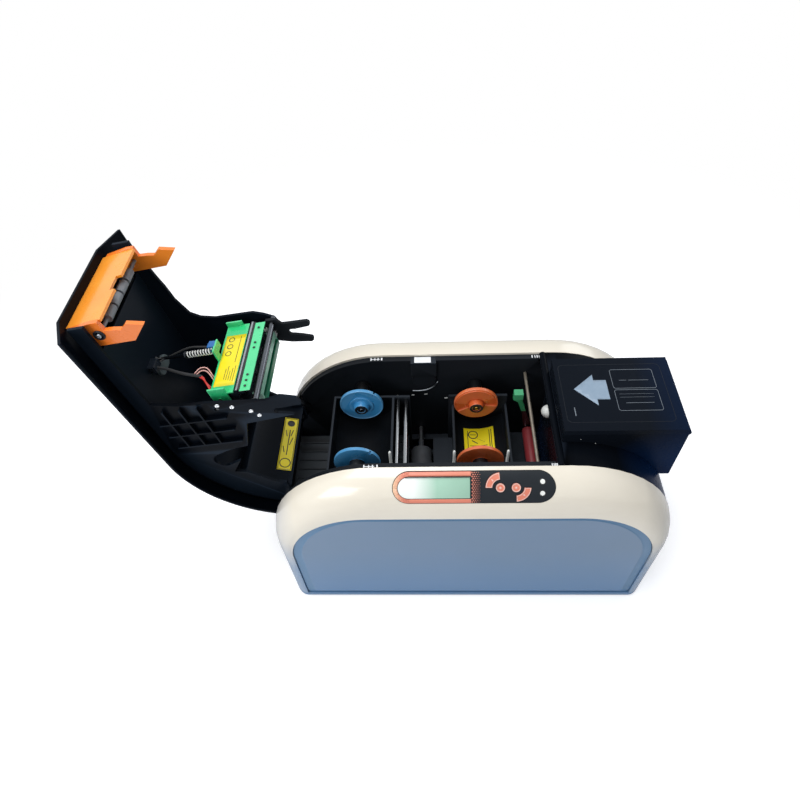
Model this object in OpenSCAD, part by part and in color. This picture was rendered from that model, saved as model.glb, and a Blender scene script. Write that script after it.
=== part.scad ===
// Desktop card printer with a hinged top cover, drawn with the cover held open on its stop.
// X runs along the body towards the card feeder, Y from the front shell to the rear one, Z up.
// The origin is the centre of the flat underside; the rubber feet stand out below it.

/* [Body] */
// Length of the side shells
body_len = 406; // [380:1:440]
// Height of the side shells above the table
body_h = 225; // [205:1:245]
// Depth over both side shells
body_w = 203; // [190:1:220]
// Radius of the arch at both ends of the body
arch_r = 113; // [100:1:120]
// Width of the ribbon bay between the side shells
bay_w = 142; // [138:1:148]
// Wall of the side shells
shell_wall = 2.6; // [2:0.1:3.5]
// Drop of the shell's shoulder from the bay edge to the side panel, over the top
shoulder_drop = 42; // [34:1:50]
// The same drop at the two ends of the body
shoulder_end = 18; // [14:1:24]
// Fullness of the rear shell's shoulder, where 2 is an ellipse
rear_fullness = 3.8; // [2:0.1:5]
// Fullness of the front shell's shoulder, which slopes to carry the control panel
front_fullness = 2; // [2:0.1:2.4]
// Height of the rubber feet
foot_h = 2.5; // [2:0.5:5]

/* [Side panels] */
// Length of the tinted side panels
panel_len = 369; // [340:1:376]
// Height of a side panel's top edge
panel_top = 182; // [165:1:184]
// Radius of a side panel's upper corners
panel_r = 84; // [60:1:95]
// Depth of the panel's face below the shell
panel_sink = 0.8; // [0.4:0.1:1.5]

/* [Inner frames] */
// Thickness of the two black inner frames
frame_t = 6.2; // [5:0.1:6.6]
// Step from the shell's edge down to the frame's rim
rim_drop = 2.6; // [2.4:0.1:4]

/* [Cover] */
// Distance of the hinge axis behind the centre of the body
hinge_back = 188; // [186:0.5:190]
// Height of the hinge axis
hinge_z = 146; // [144:0.5:148]
// Angle between the closed cover and its open stop
cover_swing = 99.5; // [80:0.5:104]
// Radius of the hinge pins
hinge_r = 4; // [3:0.5:5]
// X of the cover's free end when it is closed
cover_end = 74; // [70:1:75]
// Height of the raised middle of the cover over the shells
crown_h = 12; // [8:0.5:14]
// Half width of the raised middle
crown_half = 45; // [40:1:48]
// Wall of the cover's mouldings
cover_wall = 2.4; // [2:0.1:3]
// Distance between the outer faces of the cover's two inner walls
wall_span = 108; // [106:1:110]

/* [Ribbon spools] */
// Height of both spool axes
spool_z = 184; // [182:0.5:186]
// X of the take-up spool axis
take_up_x = -112.5; // [-114:0.5:-111]
// X of the supply spool axis
supply_x = 11; // [9:0.5:13]
// Radius of a spool disc
disc_r = 23.5; // [20:0.5:24.5]
// Distance between the inner faces of a pair of spool discs
disc_gap = 72; // [66:1:74]
// Radius of a spindle's shaft
spindle_r = 5; // [4:0.5:6]

/* [Print line] */
// X of the platen roller
platen_x = -49.5; // [-51:0.5:-48]
// Height of the platen roller's axis
platen_z = 104; // [102:0.5:105]
// Radius of the platen roller
platen_r = 12; // [10:0.5:12.5]
// Length of the rollers' rubber
roller_len = 60; // [56:1:64]
// Radius of the roller shafts
shaft_r = 3; // [2.5:0.5:3.5]

/* [Feeder] */
// X of the feeder's left edge
feeder_x = 77.6; // [77:0.2:80]
// Length of the card box
box_len = 113; // [108:1:116]
// Width of the card box
box_w = 89; // [80:1:94]
// Height of the feeder lid's top
box_top = 242; // [236:1:250]
// Wall of the card box
box_wall = 2.4; // [2:0.1:3]

/* [Control panel] */
// Length of the control panel
fascia_len = 148; // [130:1:160]
// Width of the control panel
fascia_w = 30.4; // [28:0.2:31]
// Depth of the control panel's seat in the shell
fascia_t = 1.5; // [1.2:0.1:1.6]

/* [Clearances] */
// Gap between mouldings that sit beside each other
fit_gap = 0.3; // [0.2:0.05:0.4]
// Radial clearance of a turning shaft in its bearing
run_gap = 0.05; // [0.02:0.01:0.1]

/* [Hidden] */
$fn = 64;

hinge_x = -hinge_back;
half_len = body_len / 2;
half_w = body_w / 2;
half_bay = bay_w / 2;
arch_x = half_len - arch_r;
arch_z = body_h - arch_r;
frame_y = half_bay - 0.2;              // outer face of the inner frames
frame_in = frame_y - frame_t;          // inner face of the inner frames
base_z = 0;                            // underside of the base pan and the shells
base_t = 3;
shell_z = base_z;
skin_half = half_bay - 0.4;            // half width of the cover's skin
wall_out = wall_span / 2;              // outer face of the cover's inner walls
wall_in = wall_out - cover_wall - 0.4; // their inner face
tub_half = wall_in - 1.8;              // half width of everything that lies between those walls
disc_in = disc_gap / 2;
disc_t = 3;
card_z = platen_z + platen_r;          // level at which a card travels

black = "#14171c";
cream = "#ece5d6";
tint_blue = "#6f89a8";
spool_blue = "#3d8fc4";
spool_orange = "#d8642e";
head_green = "#2fd583";
steel = "#b9bdc2";

// Plate from y0 to y1 whose outline is drawn in X and Z
module side_plate(y0, y1) {
    translate([0, y1, 0]) rotate([90, 0, 0]) linear_extrude(y1 - y0) children();
}

// Round bar along Y
module bar(x, z, r, y0, y1) {
    translate([x, y1, z]) rotate([90, 0, 0]) cylinder(r = r, h = y1 - y0);
}

// Box between two corners
module block(a, b) {
    translate(a) cube(b - a);
}

// The body's arched outline in X and Z, drawn in by inset, down to z0
module arch(inset, z0) {
    reach = half_len - inset;
    translate([-arch_x, z0]) square([2 * arch_x, body_h - inset - z0]);
    translate([-reach, z0]) square([2 * reach, arch_z - z0]);
    for (s = [-1, 1])
        intersection() {
            translate([s * arch_x, arch_z]) circle(arch_r - inset, $fn = 128);
            translate([s * (arch_x + arch_r / 2) - arch_r / 2 - 1, arch_z - 1]) square(arch_r + 2);
        }
}

// Ring sector about the arch's centre, for what follows the arch from angle a0 to a1
module arch_sector(side, r0, r1, a0, a1) {
    translate([side * arch_x, arch_z])
        intersection() {
            difference() {
                circle(r1, $fn = 128);
                circle(r0, $fn = 128);
            }
            wedge(a0, a1, 2 * r1);
        }
}

module wedge(a0, a1, r) {
    mid = (a0 + a1) / 2;
    polygon([[0, 0], r * [cos(a0), sin(a0)], 1.4 * r * [cos(mid), sin(mid)], r * [cos(a1), sin(a1)]]);
}

// Turns what is drawn for the closed cover to the open stop
module opened() {
    translate([hinge_x, 0, hinge_z]) rotate([0, -cover_swing, 0]) translate([-hinge_x, 0, -hinge_z]) children();
}

/* ---- side shells ---- */

// Shoulder of a shell in shares of its width and its drop, from the bay edge to the side
function shoulder(fullness) = [for (t = [0:10:90]) [pow(sin(t), 2 / fullness), 1 - pow(cos(t), 2 / fullness)]];
REAR_SHOULDER = shoulder(rear_fullness);
FRONT_SHOULDER = shoulder(front_fullness);
ARC_STEPS = 12;

// Stations round the arch, as [centre x, centre z, direction angle]
function stations(z0) = concat(
    [[arch_x, z0 - arch_z, 0]],
    [for (i = [0:ARC_STEPS]) [arch_x, 0, 90 * i / ARC_STEPS]],
    [for (i = [0:ARC_STEPS]) [-arch_x, 0, 90 + 90 * i / ARC_STEPS]],
    [[-arch_x, z0 - arch_z, 180]]
);

function drop_at(angle) = shoulder_end + (shoulder_drop - shoulder_end) * pow(sin(angle), 2);

// Point of a shell station s at the shoulder point p, with the surface drawn in by t
function shell_point(s, p, y0, y1, t) =
    let (r = arch_r - t - (drop_at(s[2]) - t / 2) * p[1])
    [s[0] + r * cos(s[2]), y0 + (y1 - y0) * p[0], arch_z + s[1] + r * sin(s[2])];

// Solid form of a shoulder between y0 and y1, drawn in by t, down to z0
module shell_form(section, y0, y1, t, z0) {
    round = stations(z0);
    n = len(round);
    m = len(section);
    points = [for (s = round) for (p = section) shell_point(s, p, y0, y1, t)];
    skin = [for (i = [0:n - 2]) for (j = [0:m - 2]) each [
        [i * m + j, (i + 1) * m + j, i * m + j + 1],
        [i * m + j + 1, (i + 1) * m + j, (i + 1) * m + j + 1],
    ]];
    inner_face = [[for (i = [n - 1:-1:0]) i * m]];
    outer_face = [[for (i = [0:n - 1]) i * m + m - 1]];
    underside = [[for (j = [0:m - 1]) j, for (j = [m - 1:-1:0]) (n - 1) * m + j]];
    polyhedron(points, concat(skin, inner_face, outer_face, underside));
}

// Upper and side outline of a side panel
module panel_outline(inset) {
    half = panel_len / 2 - inset;
    r = panel_r - inset;
    top = panel_top - inset;
    z0 = shell_z + 6 + inset;
    translate([-half, z0]) square([2 * half, top - r - z0]);
    translate([-half + r, z0]) square([2 * (half - r), top - z0]);
    for (s = [-1, 1])
        intersection() {
            translate([s * (half - r), top - r]) circle(r, $fn = 128);
            translate([s * (half - r / 2) - r / 2 - 1, top - r - 1]) square(r + 2);
        }
}

module side_shell(section) {
    difference() {
        shell_form(section, half_bay, half_w, 0, shell_z);
        shell_form(section, half_bay - 1, half_w - shell_wall, shell_wall, shell_z - 1);
        side_plate(half_w - shell_wall - 1, half_w + 1) panel_outline(0);
        children();
    }
}

module rear_side_shell() {
    color(cream) side_shell(REAR_SHOULDER);
}

module front_side_shell() {
    color(cream) mirror([0, 1, 0]) side_shell(FRONT_SHOULDER) {
        // seat of the control panel, and the way through for the display and the keys
        mirror([0, 1, 0]) fascia_piece(-fascia_t, 6) fascia_outline(0);
        mirror([0, 1, 0]) fascia_piece(-8, 1) {
            fascia_outline(4);
            arc_key_outline(key_left_x, arc_back_a, -key_slot);
            arc_key_outline(key_right_x, arc_front_a, -key_slot);
        }
    }
}

module side_panel() {
    face = half_w - panel_sink;
    side_plate(face - 2.2, face) panel_outline(fit_gap);
    // flange behind the opening
    difference() {
        side_plate(face - 4.4, half_w - shell_wall - fit_gap) panel_outline(-1.2);
        side_plate(face - 5, face) panel_outline(2);
    }
}

module rear_side_panel() {
    color(tint_blue) side_panel();
}

module front_side_panel() {
    color(tint_blue) mirror([0, 1, 0]) side_panel();
}

/* ---- control panel ---- */

// The control panel lies on the front shoulder, round the direction fascia_a
fascia_a = 36;
shoulder_w = half_w - half_bay;

// Point of the shoulder's section at angle t, moved out by d
function shoulder_point(t, d) =
    let (n = [shoulder_drop * sin(t), shoulder_w * cos(t)])
    [shoulder_w * sin(t), -shoulder_drop * (1 - cos(t))] + d * n / norm(n);

fascia_tilt = atan2(shoulder_drop * sin(fascia_a), shoulder_w * cos(fascia_a));

// Frame of the control panel: X along the body, Y up the slope, Z out of the shoulder
module fascia_place() {
    p = shoulder_point(fascia_a, 0);
    translate([0, -half_bay - p[0], body_h + p[1]]) rotate([fascia_tilt, 0, 0]) children();
}

// Layer of the shoulder between the depths d0 and d1, over the outline given as a child
module fascia_piece(d0, d1) {
    layer = concat([for (t = [-8:4:84]) shoulder_point(t, d1)], [for (t = [84:-4:-8]) shoulder_point(t, d0)]);
    intersection() {
        translate([-fascia_len / 2 - 1, -half_bay, body_h]) rotate([90, 0, 90])
            linear_extrude(fascia_len + 2) polygon([for (p = layer) [-p[0], p[1]]]);
        fascia_place() translate([0, 0, -14]) linear_extrude(24) children();
    }
}

module stadium(length, width) {
    square([length - width, width], center = true);
    for (s = [-1, 1]) translate([s * (length - width) / 2, 0]) circle(width / 2);
}

module fascia_outline(inset) {
    stadium(fascia_len - 2 * inset, fascia_w - 2 * inset);
}

// Centres of the two round keys and the two lamps, and the size of the window
key_left_x = 24.2;
key_right_x = 38.4;
round_key_r = 4.1;
arc_key_r = [7.4, 13.4];
lamp_x = 62;
lamp_y = 5.4;
lamp_r = 2.2;
window_x = [-69, -3];
window_w = 20;
key_slot = 0.3;
key_rise = 0.9;

module window_outline(inset) {
    w = window_w - 2 * inset;
    translate([window_x[0] + window_w / 2, 0]) circle(w / 2);
    translate([window_x[0] + window_w / 2, -w / 2]) square([window_x[1] - inset - window_x[0] - window_w / 2, w]);
}

// Quarter ring beside a round key, on the side that angle a points to
module arc_key_outline(x, a, inset) {
    translate([x, 0]) intersection() {
        difference() {
            circle(arc_key_r[1] - inset);
            circle(arc_key_r[0] + inset);
        }
        wedge(a - 43 + 3 * inset, a + 43 - 3 * inset, 30);
    }
}

arc_back_a = 136;
arc_front_a = -44;

module control_fascia() {
    color("#2b3136") difference() {
        fascia_piece(-fascia_t + 0.1, 0.2) fascia_outline(fit_gap);
        fascia_place() translate([0, 0, -8]) linear_extrude(16) {
            window_outline(0);
            for (x = [key_left_x, key_right_x]) translate([x, 0]) circle(round_key_r + key_slot);
            arc_key_outline(key_left_x, arc_back_a, -key_slot);
            arc_key_outline(key_right_x, arc_front_a, -key_slot);
            for (s = [-1, 1]) translate([lamp_x, s * lamp_y]) circle(lamp_r + 0.1);
        }
    }
}

module lcd_window() {
    color("#a9d6be") fascia_piece(-3, 0.3) window_outline(0.15);
}

module status_lamps() {
    color("white") fascia_piece(-3, 0.6) for (s = [-1, 1]) translate([lamp_x, s * lamp_y]) circle(lamp_r);
}

module round_key_left() {
    color("#e58a72") fascia_piece(-3, key_rise) translate([key_left_x, 0]) circle(round_key_r);
}

module round_key_right() {
    color("#e58a72") fascia_piece(-3, key_rise) translate([key_right_x, 0]) circle(round_key_r);
}

module arc_key_back() {
    color("#e58a72") fascia_piece(-3, key_rise) arc_key_outline(key_left_x, arc_back_a, 0);
}

module arc_key_front() {
    color("#e58a72") fascia_piece(-3, key_rise) arc_key_outline(key_right_x, arc_front_a, 0);
}

/* ---- base, frames and bay ---- */

end_wall = 2.8;

// Outline of the base pan, following the rounded feet of the shells
pan_inset = shell_wall + 0.6;
function pan_corner(section, sx, sy) = [for (p = section)
    [sx * (half_len - pan_inset - shoulder_end * p[1]), sy * (half_bay + (shoulder_w - pan_inset) * p[0])]];
function backwards(list) = [for (i = [len(list) - 1:-1:0]) list[i]];

module pan_outline() {
    polygon(concat(
        pan_corner(REAR_SHOULDER, 1, 1),
        backwards(pan_corner(REAR_SHOULDER, -1, 1)),
        pan_corner(FRONT_SHOULDER, -1, -1),
        backwards(pan_corner(FRONT_SHOULDER, 1, -1))
    ));
}

field_h = 0.8;
field_x = 150;
field_y = 50;

module base_pan() {
    color("#2a2d33") difference() {
        union() {
            translate([0, 0, field_h]) linear_extrude(base_t - field_h) pan_outline();
            // flat field between the feet, on which the origin lies
            linear_extrude(field_h) square([2 * field_x, 2 * field_y], center = true);
            // rails that the inner frames stand against
            for (s = [-1, 1])
                block([-150, s > 0 ? frame_in - 4 - fit_gap : -frame_in + fit_gap, field_h],
                    [150, s > 0 ? frame_in - fit_gap : -frame_in + 4 + fit_gap, base_z + base_t + 9]);
        }
        // cooling slots under the electronics
        for (i = [1:5]) for (s = [-1, 1]) translate([s * (i * 16 + 8) - 3, -30, base_z - 1]) cube([6, 60, base_t + 2]);
    }
}

foot_x = half_len - 34;
foot_y = half_w - 24;

module rubber_feet() {
    color("#1b1b1b") for (x = [-foot_x, foot_x]) for (y = [-foot_y, foot_y])
        translate([x, y, -foot_h]) cylinder(r1 = 8, r2 = 9, h = foot_h + field_h);
}

frame_z = base_z + base_t;
// Outline of an inner frame, with the pocket for the cover's end and the step under the feeder
module frame_outline() {
    intersection() {
        difference() {
            arch(rim_drop, frame_z);
            translate([-half_len - 5, hinge_z - 14]) square([half_len + 5 + hinge_x + 3, arch_r]);
            translate([hinge_x, hinge_z]) circle(13.2);
            translate([feeder_x - 1, body_h - 8]) square([arch_r + 20, 20]);
            translate([arch_x, arch_z]) difference() {
                translate([-12, 0]) square(arch_r + 20);
                circle(arch_r - 6, $fn = 128);
                translate([-13, -1]) square([13, arch_r - 6]);
            }
        }
        translate([-half_len + 3.5, 0]) square([2 * half_len - 7, body_h]);
    }
    // ear and neck round the hinge bore
    translate([hinge_x, hinge_z]) circle(hinge_r + 2.5);
    translate([hinge_x, hinge_z]) rotate(-10) translate([0, -5]) square([22, 10]);
}

module inner_frame() {
    difference() {
        side_plate(frame_in, frame_y) frame_outline();
        bar(hinge_x, hinge_z, hinge_r + run_gap, frame_in - 1, frame_y + 1);
        for (x = [take_up_x, supply_x]) bar(x, spool_z, spindle_r + run_gap, frame_in - 1, frame_y + 1);
        bar(platen_x, platen_z, shaft_r + run_gap, frame_in - 1, frame_y + 1);
        bar(clean_x, clean_z, clean_shaft_r + run_gap, frame_in - 1, frame_y + 1);
        bar(pick_x, pick_z, shaft_r + run_gap, frame_in - 1, frame_y + 1);
        bar(tie_x, tie_z, tie_r, frame_in - 1, frame_y + 1);
        // lightening windows below the card path
        for (x = [-150, -70, 20, 100]) side_plate(frame_in - 1, frame_y + 1)
            translate([x, 34]) round_box(56, 40, 6);
    }
}

// Rectangle with round corners
module round_box(w, h, r) {
    translate([r, 0]) square([w - 2 * r, h]);
    translate([0, r]) square([w, h - 2 * r]);
    for (x = [r, w - r]) for (y = [r, h - r]) translate([x, y]) circle(r);
}

module rear_inner_frame() {
    color(black) inner_frame();
}

module front_inner_frame() {
    color(black) mirror([0, 1, 0]) inner_frame();
}

deck_z = platen_z - platen_r;          // the deck lies below the platen
tub_wall = 2.4;
take_up_trough = [take_up_x - 28.5, take_up_x + 33];
supply_trough = [supply_x - 23, supply_x + 32];
cheek_w = 2.8;

// Trough under a spool as an outline: r is its radius round the spool, span its inner ends in X
module trough(x, r, span, top) {
    difference() {
        intersection() {
            translate([x, spool_z]) circle(r + tub_wall, $fn = 96);
            translate([span[0] - tub_wall, spool_z - r - 5]) square([span[1] - span[0] + 2 * tub_wall, r + 5 + top]);
        }
        intersection() {
            translate([x, spool_z]) circle(r, $fn = 96);
            translate([span[0], spool_z - r - 5]) square([span[1] - span[0], r + 40]);
        }
    }
}

// Cheek that carries a trough, with the way down for the spindle's hub
module cheek(x, x0, x1, s) {
    difference() {
        block([x0, s > 0 ? tub_half - cheek_w : -tub_half, deck_z - 1], [x1, s > 0 ? tub_half : -tub_half + cheek_w, spool_z]);
        bar(x, spool_z, spindle_r + 4.4, -tub_half - 1, tub_half + 1);
        for (gx = guide_x) bar(gx, guide_z, guide_r, -tub_half - 1, tub_half + 1);
    }
}

module ribbon_bay_tub() {
    color(black) {
        side_plate(-tub_half + 1, tub_half - 1) trough(take_up_x, 38, take_up_trough, 0);
        side_plate(-tub_half + 1, tub_half - 1) trough(supply_x, 43.5, supply_trough, -14);
        for (s = [-1, 1]) {
            cheek(take_up_x, take_up_trough[0] - tub_wall, -60.4, s);
            cheek(supply_x, supply_trough[0] - 6, supply_trough[1] + tub_wall, s);
        }
        // deck below the card path, with slots for the cover's fork
        difference() {
            block([-half_len + 4, -frame_in + 0.1, deck_z - 3.4], [box_x0 + 10, frame_in - 0.1, deck_z - 1]);
            for (s = [-1, 1]) block([platen_x - 19, s > 0 ? 41 : -57, deck_z - 5], [platen_x + 19, s > 0 ? 57 : -41, deck_z + 1]);
            block([platen_x - 14, -34, deck_z - 5], [platen_x + 14, 34, deck_z + 1]);
        }
        // card guide between the feeder and the platen
        block([platen_x + platen_r + 2, -42, card_z - 4.4], [supply_trough[0], 42, card_z - 2]);
        block([supply_trough[0], -tub_half + 1, card_z - 4.4], [box_x0 - 1, tub_half - 1, card_z - 2]);
    }
}

module output_ramp() {
    color(black) {
        block([-half_len + 4, -tub_half + cheek_w + 0.2, card_z - 4.4], [platen_x - platen_r - 2, tub_half - cheek_w - 0.2, card_z - 2]);
        for (i = [-3:3])
            block([-half_len + 14, i * 12 - 0.8, card_z - 2], [platen_x - platen_r - 4, i * 12 + 0.8, card_z - 0.6]);
    }
}

module end_outline() {
    translate([half_len - 0.4 - end_wall, frame_z]) square([end_wall, arch_z - frame_z]);
}

module left_end_cover() {
    color(black) mirror([1, 0, 0]) side_plate(-skin_half, skin_half) end_outline();
}

inlet_y = -34;
inlet_z = 40;
switch_y = -2;
switch_x = half_len - 4.6;             // its pivot runs behind the end cover
usb_y = 34;

module right_end_cover() {
    color(black) difference() {
        side_plate(-skin_half, skin_half) end_outline();
        block([half_len - 5, inlet_y - 14, inlet_z - 10], [half_len + 1, inlet_y + 14, inlet_z + 10]);
        block([half_len - 5, switch_y - 7, inlet_z - 10], [half_len + 1, switch_y + 7, inlet_z + 10]);
        block([half_len - 5, usb_y - 6.5, inlet_z - 6], [half_len + 1, usb_y + 6.5, inlet_z + 6]);
        // cooling louvres
        for (i = [0:5]) block([half_len - 5, -50, 66 + i * 6], [half_len + 1, 50, 68.6 + i * 6]);
    }
}

module power_inlet() {
    color("#101010") difference() {
        union() {
            block([half_len - 22, inlet_y - 13.7, inlet_z - 9.7], [half_len + 0.4, inlet_y + 13.7, inlet_z + 9.7]);
            block([half_len - 0.4 + fit_gap, inlet_y - 17, inlet_z - 13], [half_len + 1.6, inlet_y + 17, inlet_z + 13]);
        }
        block([half_len - 14, inlet_y - 11.5, inlet_z - 7.5], [half_len + 3, inlet_y + 11.5, inlet_z + 7.5]);
    }
    color(steel) for (y = [-7, 0, 7]) block([half_len - 15, inlet_y + y - 1, inlet_z - 2], [half_len - 3, inlet_y + y + 1, inlet_z + 2]);
}

module power_switch() {
    color("#181818") {
        translate([half_len - 1, switch_y, inlet_z]) rotate([0, 6, 0]) translate([-6, -6.6, -9]) cube([7.5, 13.2, 18]);
        bar(switch_x, inlet_z, 1.2, switch_y - 8.4, switch_y + 8.4);
    }
}

module data_socket() {
    color(steel) difference() {
        block([half_len - 18, usb_y - 6.2, inlet_z - 5.7], [half_len - 0.2, usb_y + 6.2, inlet_z + 5.7]);
        block([half_len - 12, usb_y - 4.4, inlet_z - 4], [half_len + 1, usb_y + 4.4, inlet_z + 4]);
    }
}

tie_x = 64.5;
tie_z = 200;
tie_r = 1.7;

module tie_rod() {
    color(steel) bar(tie_x, tie_z, tie_r - 0.02, -frame_y, frame_y);
}

guide_x = [-73.5, -64.6];
guide_z = 178.5;
guide_r = 2.4;

module ribbon_guide_rods() {
    color(steel) for (x = guide_x) bar(x, guide_z, guide_r - 0.02, -tub_half, tub_half);
}

module locating_posts() {
    color("white") for (x = [-82.5, -18.5, 38.5])
        block([x - 1, -tub_half + 0.4, spool_z], [x + 1, -tub_half + 2.4, spool_z + 9]);
}

// Sensor block that the closed cover's catch pushes into
module cover_sensor() {
    color(black) {
        block([-58, frame_in - 3.6, body_h - 24], [-31, frame_in, body_h - 4.5]);
        side_plate(frame_in - 3.6, frame_in) translate([-44.5, body_h - 30]) circle(13);
    }
}

/* ---- rollers and drive ---- */

clean_x = 71.5;
clean_z = 135;
clean_r = 6.6;
clean_shaft_r = 2;
clean_half = 36;
lever_y = [37.5, 41.5];

module cleaning_roller() {
    color("#7a2f33") bar(clean_x, clean_z, clean_r, -clean_half, clean_half);
    color(steel) for (s = [-1, 1])
        bar(clean_x, clean_z, clean_shaft_r, s > 0 ? clean_half : -frame_y, s > 0 ? frame_y : -clean_half);
}

module roller_lift_lever() {
    color("#1e9e62") difference() {
        union() {
            side_plate(lever_y[0], lever_y[1]) polygon([
                [50.5, 200], [60, 200], [60.5, 186], [66.5, 166], [clean_x + 5, clean_z + 3],
                [clean_x + 5, clean_z - 5], [clean_x - 5, clean_z - 5], [clean_x - 5.5, clean_z + 4],
                [62, 165], [56, 183], [50.5, 187],
            ]);
            // thumb tab
            block([50.5, lever_y[0] - 4, 192], [60, lever_y[0], 200]);
        }
        bar(clean_x, clean_z, clean_shaft_r + run_gap, lever_y[0] - 1, lever_y[1] + 1);
    }
}

module platen_roller() {
    color("#202225") bar(platen_x, platen_z, platen_r, -roller_len / 2, roller_len / 2);
    color(steel) for (s = [-1, 1])
        bar(platen_x, platen_z, shaft_r, s > 0 ? roller_len / 2 : -frame_y, s > 0 ? gear_y + gear_w : -roller_len / 2);
}

// Spur gear: teeth as a ring of trapezia on a disc
module gear(teeth, module_mm, width, bore_r) {
    pitch_r = teeth * module_mm / 2;
    root_r = pitch_r - 1.2 * module_mm;
    tip_r = pitch_r + 0.85 * module_mm;
    half_root = 0.62 * module_mm;
    half_tip = 0.3 * module_mm;
    linear_extrude(width) difference() {
        union() {
            circle(root_r);
            for (i = [0:teeth - 1]) rotate(360 * i / teeth) polygon([
                [root_r - 0.5, -1.25 * half_root], [pitch_r, -0.72 * module_mm], [tip_r, -half_tip],
                [tip_r, half_tip], [pitch_r, 0.72 * module_mm], [root_r - 0.5, 1.25 * half_root],
            ]);
        }
        circle(bore_r);
    }
}

gear_m = 1;
platen_teeth = 36;
pinion_teeth = 14;
gear_y = half_bay + 6;
gear_w = 6;
gear_dist = gear_m * (platen_teeth + pinion_teeth) / 2 + 0.25;
motor_x = platen_x + gear_dist;
motor_z = platen_z;

module platen_gear() {
    color("#e8e4da") translate([platen_x, gear_y + gear_w, platen_z]) rotate([90, 0, 0])
        rotate(180 / platen_teeth) gear(platen_teeth, gear_m, gear_w, shaft_r + 0.02);
}

module motor_pinion() {
    color(steel) translate([motor_x, gear_y + gear_w, motor_z]) rotate([90, 0, 0])
        gear(pinion_teeth, gear_m, gear_w, 2);
    color(steel) bar(motor_x, motor_z, 2, gear_y, gear_y + gear_w + 3.5);
}

module drive_motor() {
    face = gear_y + gear_w + 1;
    color("#8c9096") {
        difference() {
            union() {
                bar(motor_x, motor_z, 17, face, half_w - panel_sink - 6);
                bar(motor_x, motor_z, 22, face, face + 1.4);
            }
            bar(motor_x, motor_z, 2 + run_gap, face - 1, face + 4);
        }
        for (a = [-75, 0, 75])
            bar(motor_x + 19.4 * cos(a), motor_z + 19.4 * sin(a), 1.8, frame_y, face);
    }
}

module spool_ramp(r0, r1, a0, a1, h) {
    linear_extrude(h) intersection() {
        difference() {
            circle(r1);
            circle(r0);
        }
        wedge(a0, a1, 40);
    }
}

// Spindle: disc, hub and shaft along Y, the hub pointing to the middle of the bay
module spindle(x, ramps) {
    translate([x, disc_in, spool_z]) rotate([-90, 0, 0]) difference() {
        union() {
            cylinder(r = disc_r, h = disc_t);
            translate([0, 0, disc_t]) cylinder(r = spindle_r, h = frame_y - disc_in - disc_t);
            translate([0, 0, disc_t]) cylinder(r = hub_r, h = frame_in - 1 - disc_in - disc_t);
            translate([0, 0, -7]) cylinder(r1 = 7.4, r2 = 8.6, h = 7);
            // raised ramps, or a raised collar with one drive lug
            if (ramps) {
                for (a = [0, 180]) rotate(a) translate([0, 0, -1.8]) spool_ramp(9.5, disc_r - 1.5, 8, 150, 1.8);
            } else {
                translate([0, 0, -1.4]) cylinder(r = 13, h = 1.4);
            }
        }
        translate([0, 0, -8]) cylinder(r = 4.2, h = 9);
        if (!ramps) rotate(-50) translate([disc_r - 3, -1.2, -1]) cube([5, 2.4, disc_t + 2]);
    }
}

module take_up_spindle_rear() {
    color(spool_blue) spindle(take_up_x, false);
}

module take_up_spindle_front() {
    color(spool_blue) mirror([0, 1, 0]) spindle(take_up_x, false);
}

module supply_spindle_rear() {
    color(spool_orange) spindle(supply_x, true);
}

module supply_spindle_front() {
    color(spool_orange) mirror([0, 1, 0]) spindle(supply_x, true);
}

module main_board() {
    y = -half_bay - shell_wall - 6;
    color("#1c6b45") block([-120, y - 1.6, 20], [120, y, 150]);
    color("#222222") {
        for (p = [[-80, 60], [-20, 100], [50, 70]]) block([p[0], y - 4, p[1]], [p[0] + 22, y - 1.6, p[1] + 22]);
        block([80, y - 12, 30], [112, y - 1.6, 60]);
    }
    color(steel) for (x = [-112, 112]) for (z = [28, 142])
        bar(x, z, 2.4, y, -frame_y);
}

/* ---- feeder ---- */

box_x0 = feeder_x + 7.4;
box_x1 = box_x0 + box_len;
box_half = box_w / 2;
box_floor = card_z - 1;
overhang_z = 168;      // below this the box stays inside the arch
box_in_x1 = 186;
skin_t = 2.6;

module feeder_base() {
    color(black) difference() {
        union() {
            // moulding that follows the shell's arch
            side_plate(-skin_half, skin_half) {
                translate([feeder_x, body_h - 0.4 - skin_t]) square([arch_x - feeder_x, skin_t]);
                arch_sector(1, arch_r - 0.4 - skin_t, arch_r - 0.4, 0, 90);
            }
            // rounded bar along the left edge
            bar(feeder_x + 3.2, body_h - 2, 3.2, -skin_half, skin_half);
        }
        block([box_x0 - fit_gap, -box_half - fit_gap, 100], [box_in_x1 + fit_gap, box_half + fit_gap, 300]);
        block([box_x0 - fit_gap, -box_half - fit_gap, overhang_z - fit_gap], [box_x1 + 20, box_half + fit_gap, 300]);
    }
}

lid_hinge_x = box_x1 - 1.5;
lid_hinge_z = box_top - 6;
lid_pin_r = 1.5;
ear_r = 3;

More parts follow.
